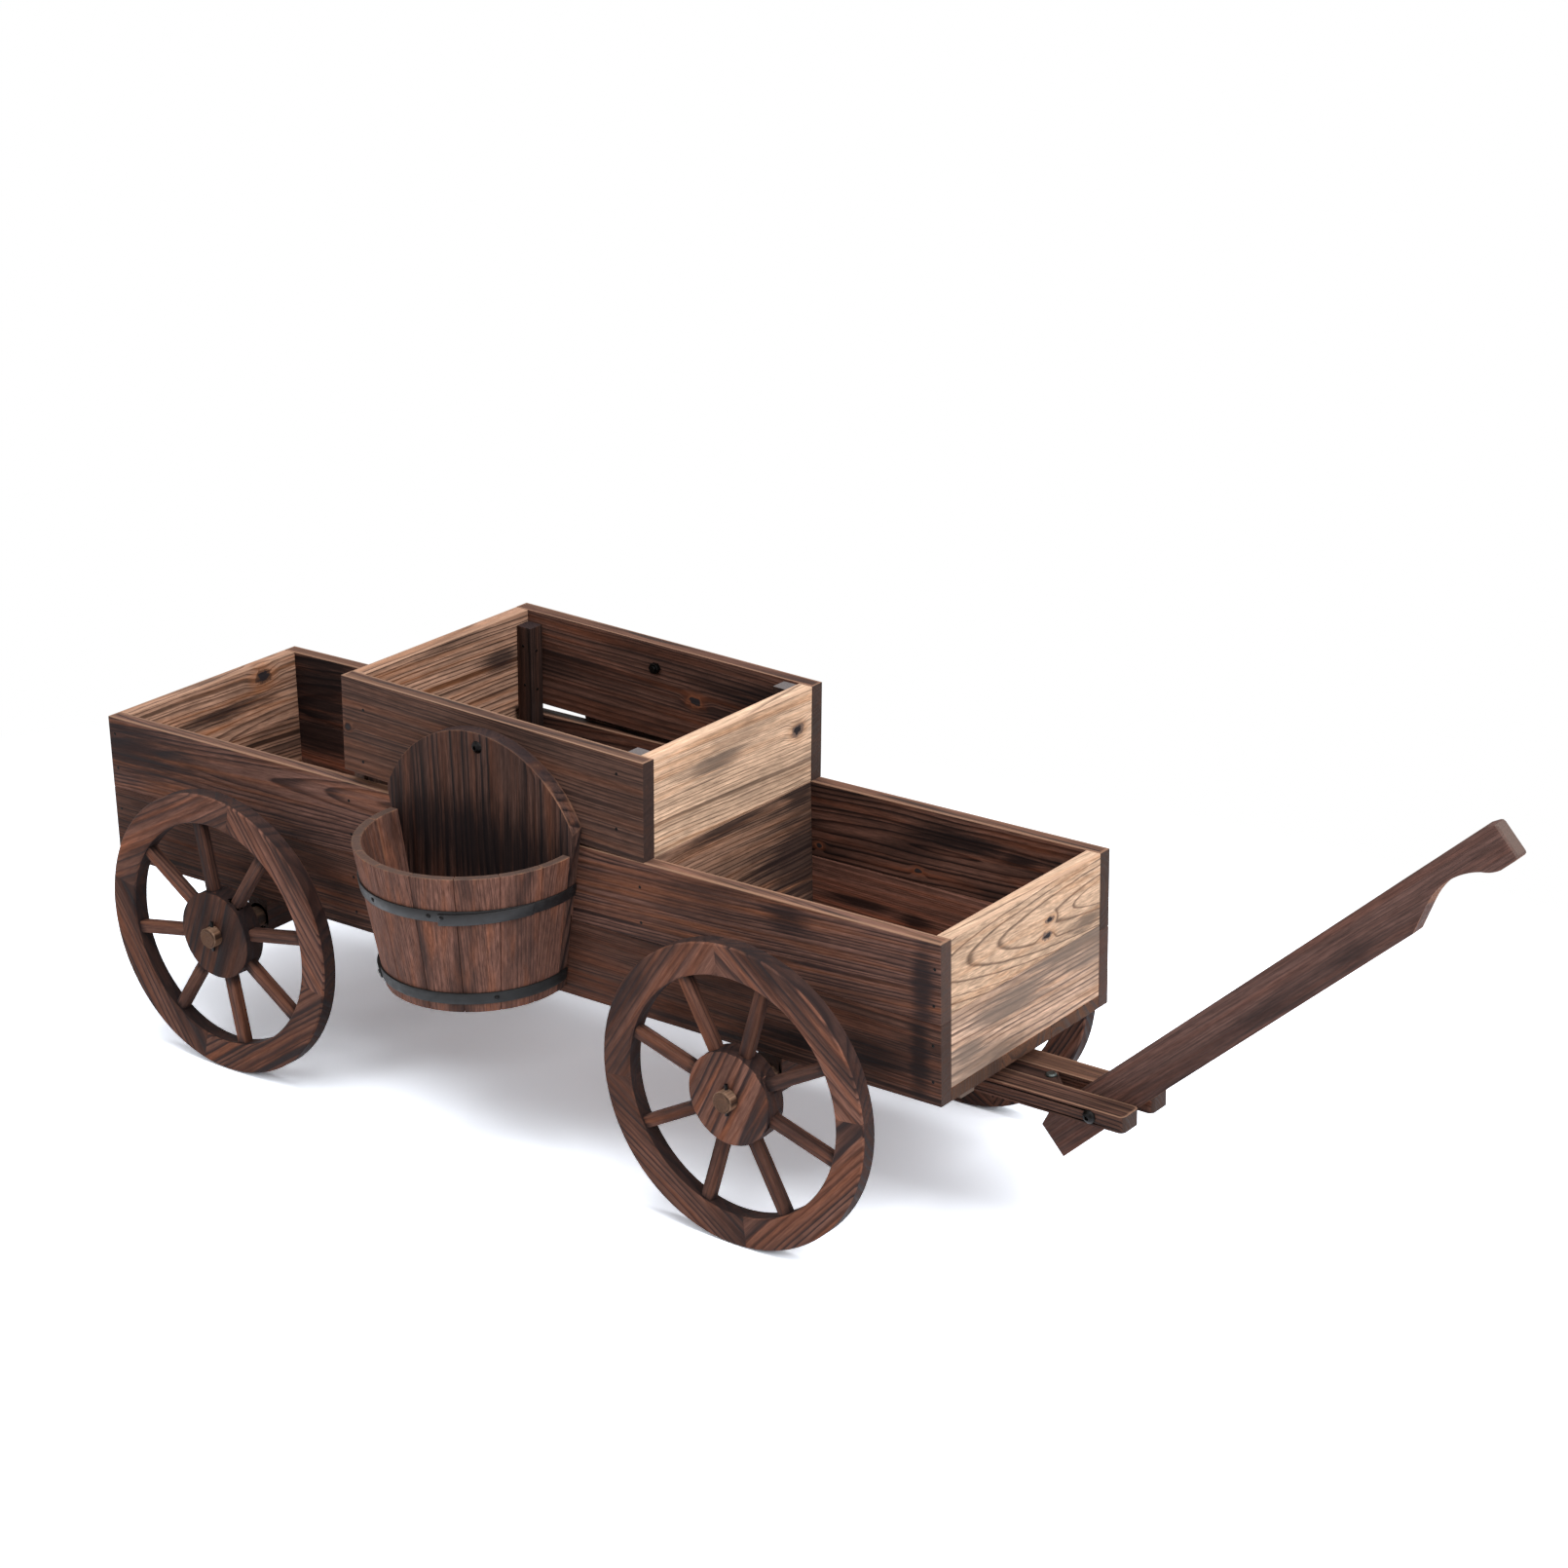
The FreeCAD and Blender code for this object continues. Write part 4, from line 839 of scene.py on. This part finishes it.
def round_outline(bm):
    """The saw goes round a hub in one sweep: four times the solid's corners, all on one circle."""
    low, high = (Vector([limit(vert.co[axis] for vert in bm.verts) for axis in range(3)])
                 for limit in (min, max))
    middle, half_thick = (low + high) / 2, (high.y - low.y) / 2

    def on_outline(vert):
        out = vert.co - middle
        return abs(abs(out.y) - half_thick) < CLOSE and math.hypot(out.x, out.z) > WITHIN_OUTLINE

    outline = [edge for edge in bm.edges if all(on_outline(vert) for vert in edge.verts)]
    bmesh.ops.subdivide_edges(bm, edges=outline, cuts=3)
    for vert in bm.verts:
        if on_outline(vert):
            out = vert.co - middle
            grow = HUB_RADIUS / math.hypot(out.x, out.z)
            vert.co.x, vert.co.z = middle.x + out.x * grow, middle.z + out.z * grow


print("hubs", round(2 * HUB_RADIUS / MM, 1), "mm across")

# %% Wheels
RIM_WEAR, SPOKE_WEAR = (0.3, 0.2, 0.2), (0.35, 0.2, 0.25)
THIN_ROUNDING = 0.3 * MM
for end_name in ("front", "rear"):
    for side in ("right", "left"):
        wheel = f"wheel_{end_name}_{side}"
        low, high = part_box(wheel + "_hub")
        middle = (low + high) / 2
        saw(wheel + "_felloes", "wheel", felloe_cut(middle), radius=THIN_ROUNDING, chamfered=True,
            worn=RIM_WEAR, sooty_sides=True, shape=butt_felloes(middle))
        saw(wheel + "_spokes", "wheel", spoke_cut(middle), radius=THIN_ROUNDING, rub_width=1.2 * MM,
            chamfered=True, worn=SPOKE_WEAR)
        grain = dice.uniform(-1.25, -0.9) if end_name == "front" else dice.uniform(-1.4, -1.2)
        diagonal = Vector((math.cos(grain), 0, -math.sin(grain)))
        hub_cut = same_cut(along=diagonal, facing=-Y, pith=(dice.uniform(20, 30), 12), lean=(3, 2),
                           growth=(6.0, 8, 0.0),
                           fire=(1.15, 0.2, 1.1) if end_name == "front" else (0.58, 0.5, 1.0))
        saw(wheel + "_hub", "wheel", hub_cut, worn=RIM_WEAR, sooty_sides=True, shape=round_outline)
print("4 wheels,", len(sawn_pieces), "pieces so far")


# %% Dowels
BEHIND_HUB = 118  # millimetres from the middle of the cart
DOWEL_END = 1.06  # times as far from there as the dowel's middle


def dowel_cut(index, centre):
    """Dark at heart, and darker where it lies behind the hub, which is painted shade."""
    # painted shade: the dowel is darkened where the hub shades it
    shade_behind_hub = (centre.x / MM, math.copysign(BEHIND_HUB, centre.y), centre.z / MM)
    front = centre.x > 0
    heart = (centre.x / MM, centre.y / MM * DOWEL_END, centre.z / MM) if front else (0, 0, 0)
    tone = 1.0 if front else 0.55
    return grown(Y, Z, (1, 1), (0, 0), (2.2, 1, 0.2), (tone, 0.1, 1.3),
                 scorches=((shade_behind_hub, 32, 80), (heart, 30, 9.0)))


saw("axle_dowels", "dowel", dowel_cut, rub_width=1.5 * MM, worn=(0.6, 0.2, 0.6))
print("dowels")

# %% [markdown]
# ## Handle
#
# The handle is one board with a scooped grip near its tip, dark and almost without figure. Hands
# have rounded the tip and worn the lower edge. A modifier would round every edge alike, so the end
# face alone gets a wide bevel before the board's other edges are rounded.

# %% Handle
REST = math.radians(41.6)  # the handle's slope when its foot lies on the drawbar
ALONG_HANDLE = Vector((math.cos(REST), 0, math.sin(REST)))
LOW_EDGE = ((330.0, -7, 132.0), 60, 7)
TIP_ROUNDING = 4 * MM


def worn_tip(bm):
    """Hands have rounded the tip by some millimetres."""
    end = max(bm.faces, key=lambda face: face.calc_center_median().dot(ALONG_HANDLE))
    rounded(bm, list(end.edges), TIP_ROUNDING, 3)


handle_cut = same_cut(along=ALONG_HANDLE, facing=-Y, pith=(38, 14), lean=(0.6, 0.9), growth=(2.0, 6, 0.0),
                      fire=(0.98, 0.15, 0.5), scorches=(LOW_EDGE,))
saw("handle", "handle", handle_cut, worn_up=-Z, worn=(0.9, 0.6, 0.15), shape=worn_tip,
    least_width=2.2 * RUB_WIDTH)
print("handle at", round(math.degrees(REST), 1), "degrees")

# %% [markdown]
# ## Half barrels
#
# Nine tapered staves stand round half a base, and two iron hoops draw them against an arched
# back board, whose bolt hangs the barrel on the crate. The staves' top edges are rubbed to
# orange; low in the middle of the back board's inner face a dark patch is painted shade, with soot.
# Each stave comes from a board of its own, so dice choose its place in the log and its tone, always in the
# same order.

# %% Half barrels
BARREL_AXIS = 124 * MM  # from the middle of the cart
BACK_FACE = 116.5  # millimetres, the back board's face inside the half barrel
STAVE_LEAN = 0.168


def stave_cut(axis):
    def cut(index, centre):
        out = Vector((centre.x - axis.x, centre.y - axis.y, 0)).normalized()
        pith = (dice.choice((-1, 1)) * dice.uniform(45, 80), dice.uniform(5, 20))
        fire = (dice.uniform(0.85, 1.15), dice.uniform(0.1, 0.45), 0.75)
        return grown(Z + out * STAVE_LEAN, out, pith, (0.4, 0.4), (2.1, 4, 0.1), fire)
    return cut


for side, sign in (("right", -1), ("left", 1)):
    barrel = f"barrel_{side}"
    low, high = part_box(barrel + "_hoop_upper")
    axis = Vector(((low.x + high.x) / 2, sign * BARREL_AXIS, 0))
    saw(barrel + "_staves", "barrel", stave_cut(axis), rub_width=2 * MM, worn=(0.55, 0.2, 0.15))
    # painted shade: a dark patch low on the back board's inner face, inside the barrel
    barrel_shade = ((axis.x / MM, sign * BACK_FACE, 235), 46, 120)
    back_cut = same_cut(along=Z, facing=sign * Y, pith=(30, 14), lean=(2, 1), growth=(5.5, 8, 0.1),
                        fire=(1.3, 0.15, 1.0), knots=KNOTS.get(barrel + "_back_board", ()), scorches=(barrel_shade,))
    saw(barrel + "_back_board", "back", back_cut, worn=(0.75, 0.25, 0.25))
    base_cut = same_cut(along=X, facing=Z, pith=(34, 18), fire=(0.8, 0.5, 0.8))
    saw(barrel + "_base", "back", base_cut)
print("2 half barrels")

# %% [markdown]
# ## Iron and steel
#
# The hoops are thin iron strip painted satin black, the bolts, nuts, washers and nails are steel
# with a black zinc coat, and the one screw in the drawbar is plain zinc that has gone dull. The
# lower hoops' paint is darker and rougher, and the darker colour is painted shade. Flat black would look like
# a hole, so a cloudy noise of a few millimetres varies the coat's colour, gloss and level.

# %% Metals
METAL_ROUNDING = 0.25 * MM
DENT_DEPTH = 0.3 * MM


def coated_metal(name, colour, roughness, metallic, speckle, specular=0.5):
    """Metal under paint or a thin coat; speckle is the size of its unevenness in millimetres."""
    material, tree = blank_material(name)
    place = add(tree, "TexCoord", take="Object")
    cloud = add(tree, "TexNoise", {"Vector": place, "Scale": 1 / (speckle * MM), "Detail": 4})
    tint = ramp(tree, cloud, 0.3, 0.7, 0.7, 1.35)
    paint = cover(tree, 1.0, linear(colour), tint, blend_type="MULTIPLY")
    rough = ramp(tree, cloud, 0.3, 0.7, roughness - 0.08, roughness + 0.1)
    dents = add(tree, "Bump", {"Strength": 0.25, "Distance": DENT_DEPTH, "Height": cloud})
    surface = add(tree, "BsdfPrincipled", {
        "Base Color": paint, "Roughness": rough, "Normal": dents, "Metallic": metallic,
        "Specular IOR Level": specular})
    add(tree, "OutputMaterial", {"Surface": surface})
    return material


black_paint = coated_metal("satin_black_paint_on_iron", "#151314", 0.44, 0.0, 6, 0.3)
# painted shade: the lower hoops' paint is darker than the upper ones'
shaded_black_paint = coated_metal("shaded_black_paint_on_iron", "#0c0b0b", 0.55, 0.0, 6, 0.25)
black_zinc = coated_metal("black_zinc_on_steel", "#1d1c1c", 0.42, 1.0, 2)
dulled_zinc = coated_metal("dulled_zinc_on_steel", "#4e5352", 0.5, 1.0, 1.5)
FASTENERS = ("axle_pins", "barrel_bolts", "barrel_nuts", "pivot_bolt", "pivot_nut", "pivot_washers")
METAL_NODES = dict.fromkeys(FASTENERS, black_zinc)
METAL_NODES["filler_screw"] = dulled_zinc
for side in ("right", "left"):
    METAL_NODES[f"barrel_{side}_hoop_upper"] = black_paint
    METAL_NODES[f"barrel_{side}_hoop_lower"] = shaded_black_paint


def round_metal_edges(piece):
    """Rolled strip and pressed steel have slightly rounded edges that catch the light."""
    rounding = piece.modifiers.new("rounding", "BEVEL")
    rounding.width, rounding.segments = METAL_ROUNDING, 2
    rounding.limit_method, rounding.angle_limit = "ANGLE", SHARP
    rounding.harden_normals = True


for node, metal in METAL_NODES.items():
    piece = frame["nodes"][node]
    piece.data.materials.clear()
    piece.data.materials.append(metal)
    weld = piece.modifiers.new("weld", "WELD")
    weld.merge_threshold = WELD
    round_metal_edges(piece)
print(len(METAL_NODES), "metal pieces")

# %% [markdown]
# ## Laps and nails
#
# A hoop is a strip whose ends lap over each other and are nailed through. The boards are held by
# brads with small flat heads, and one of the crate's posts by nails of its own. They are too small
# for the solid model, but the eye misses them. A lap is a stretch of the hoop's own outer face,
# thickened outward by a modifier, so it follows the hoop exactly. A nail's head is a short outline
# turned about its axis, set down where a line meets the iron or the wood.

# %% Laps of the hoops
STRIP_THICK = 1.1 * MM
OUTWARD = 0.7  # a face whose normal follows the radius less than this is not on the hoop's outside
HOOPS = {
    # level: (the lap's free and far end, how far the free end slipped in mm, nails); angles in degrees
    "upper": ((66, 18), 2.2, (64, 71, 108)),
    "lower": ((150, 126), 0.8, (38, 128, 148)),
}


def level_ray(angle):
    """The level direction at an angle in degrees."""
    return Vector((math.cos(math.radians(angle)), math.sin(math.radians(angle)), 0))


def lap_hoop(hoop, axis, first, last, drop):
    """Lay a second strip over a hoop between two angles in degrees about the barrel's axis.

    drop is how far its free end, at the first angle, has slipped down.
    """
    bm = mesh_of(hoop)
    low_angle, high_angle = sorted((first, last))
    for angle, keep in ((low_angle, 1), (high_angle, -1)):
        ray = level_ray(angle)
        bmesh.ops.bisect_plane(bm, geom=[*bm.verts, *bm.edges, *bm.faces], dist=1e-7, plane_co=axis,
                               plane_no=-keep * Z.cross(ray), clear_outer=True)
    inward = []
    for face in bm.faces:
        out = face.calc_center_median() - axis
        if face.normal.dot(Vector((out.x, out.y, 0)).normalized()) < OUTWARD:
            inward.append(face)
    bmesh.ops.delete(bm, geom=inward, context="FACES")
    for vert in bm.verts:
        angle = math.degrees(math.atan2(vert.co.y - axis.y, vert.co.x - axis.x))
        vert.co.z -= drop * (angle - last) / (first - last)
    lap = finished(hoop + "_lap", bm, METAL_NODES[hoop])
    strip = lap.modifiers.new("strip", "SOLIDIFY")
    strip.thickness, strip.offset = STRIP_THICK, 1
    round_metal_edges(lap)
    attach(lap, "cart")


print(2 * len(HOOPS), "hoops to lap")

# %% Heads of nails
BRAD_HEAD = ((1.2, -0.2), (1.2, 0.1), (1.0, 0.22), (0.5, 0.2), (0, 0.15))
HOOP_NAIL = ((1.8, -0.3), (1.8, 0.25), (1.5, 0.6), (0.8, 0.8), (0, 0.85))
HEAD_SIDES = 14


def turned(bm, at, out, outline):
    """Turn an outline of (radius, height) in millimetres about the direction out."""
    place = Matrix.Translation(at) @ out.to_track_quat("Z", "Y").to_matrix().to_4x4()
    rings = []
    for reach, height in outline:
        if reach == 0:
            rings.append([bm.verts.new(place @ Vector((0, 0, height * MM)))])
            continue
        turns = (2 * math.pi * step / HEAD_SIDES for step in range(HEAD_SIDES))
        points = (Vector((math.cos(turn) * reach, math.sin(turn) * reach, height)) for turn in turns)
        rings.append([bm.verts.new(place @ (point * MM)) for point in points])
    for lower, upper in zip(rings, rings[1:]):
        for step in range(HEAD_SIDES):
            after = (step + 1) % HEAD_SIDES
            if len(upper) == 1:
                bm.faces.new((lower[step], lower[after], upper[0]))
            else:
                bm.faces.new((lower[step], lower[after], upper[after], upper[step]))


def steel_piece(name, bm):
    """Make one object of the forms in bm, in black zinc."""
    bmesh.ops.recalc_face_normals(bm, faces=bm.faces)
    for face in bm.faces:
        face.smooth = True
    piece = finished(name, bm, black_zinc)
    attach(piece, "cart")


print("a brad's head is", 2 * BRAD_HEAD[0][0], "mm across, a hoop nail's", 2 * HOOP_NAIL[0][0], "mm")

# %% Brads in the boards
CARRIERS = ("end_board_front_lower", "divider_front", "divider_rear", "end_board_rear_lower")
UP_THE_BOARD = (0.25, 0.72)  # shares of a side board's height
UP_THE_POST = (-22, 20)  # millimetres from the middle of a crate board
brads = bmesh.new()
brad_count = 0
for side, out in (("right", -Y), ("left", Y)):
    for board in ("lower", "upper"):
        low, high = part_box(f"side_board_{side}_{board}")
        wall = low.y if side == "right" else high.y
        for carrier in CARRIERS:
            near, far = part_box(carrier)
            for share in UP_THE_BOARD:
                stray = Vector((dice.uniform(-1, 1), 0, dice.uniform(-3, 3))) * MM
                place = Vector(((near.x + far.x) / 2, wall, low.z + share * (high.z - low.z)))
                turned(brads, place + stray, out, BRAD_HEAD)
                brad_count += 1
    low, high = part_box(f"crate_board_{side}")
    wall = low.y if side == "right" else high.y
    for post in ("front", "rear"):
        near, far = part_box(f"corner_post_{post}_{side}")
        foot = Vector(((near.x + far.x) / 2, wall, (low.z + high.z) / 2))
        for rise in UP_THE_POST:
            stray = Vector((dice.uniform(-2, 2), 0, dice.uniform(-2, 2))) * MM
            turned(brads, foot + CRATE_Z * rise * MM + stray, out, BRAD_HEAD)
            brad_count += 1
steel_piece("brad_heads", brads)
print(brad_count, "brads")


# %% Laps and nails of the hoops
def surface_of(piece):
    """The faces of a piece, for lines to meet."""
    bm = bmesh.new()
    bm.from_mesh(piece.data)
    faces = BVHTree.FromBMesh(bm)
    bm.free()
    return faces


def strike(solids, start, way):
    """Where a line first meets the solids, and the way their face looks there."""
    place, facing, _, _ = solids.ray_cast(start, way)
    return place, facing


OUTSIDE = 0.3  # metres from a barrel's axis, where the line starts
hoop_nails = bmesh.new()
nail_count = 0
for side, sign in (("right", -1), ("left", 1)):
    for level_name, (laps, slip, nails) in HOOPS.items():
        hoop = f"barrel_{side}_hoop_{level_name}"
        low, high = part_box(hoop)
        axis = Vector(((low.x + high.x) / 2, sign * BARREL_AXIS, (low.z + high.z) / 2))
        first, last = (sign * angle for angle in laps)
        lap_hoop(hoop, axis, first, last, slip * MM)
        iron = surface_of(frame["nodes"][hoop])
        for angle in nails:
            ray = level_ray(sign * angle)
            place, facing = strike(iron, axis + ray * OUTSIDE, -ray)
            lapped = min(laps) < angle < max(laps)
            turned(hoop_nails, place + facing * (STRIP_THICK if lapped else 0), facing, HOOP_NAIL)
            nail_count += 1
steel_piece("hoop_nail_heads", hoop_nails)
print(nail_count, "nails in the hoops")

# %% Nails in the rear left post
NAIL_DEPTHS = (16, 48, 84)  # millimetres under the post's top
SIDE_NAIL_DROP = 4  # millimetres that the side nails lie lower
NAILED_AT = (12 * MM, 7 * MM)  # from the post's rear and left faces
BEFORE_FACE = 0.1  # metres, where the line starts
post_nails = bmesh.new()
low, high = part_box("corner_post_rear_left")
post = surface_of(bpy.data.objects["corner_post_rear_left_wood"])
for depth in NAIL_DEPTHS:
    for way, drop in ((Y, 0), (-CRATE_X, SIDE_NAIL_DROP)):
        aim = Vector((low.x + NAILED_AT[0], high.y - NAILED_AT[1], high.z - (depth + drop) * MM))
        place, facing = strike(post, aim - way * BEFORE_FACE, way)
        turned(post_nails, place, facing, BRAD_HEAD)
steel_piece("post_nail_heads", post_nails)
print(2 * len(NAIL_DEPTHS), "nails in the post")

# %% Sizes for comparison
dressed_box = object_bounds()
[[list(corner) for corner in box] for box in (cad_box, dressed_box)]
print("solid", cad_box, "dressed", dressed_box)
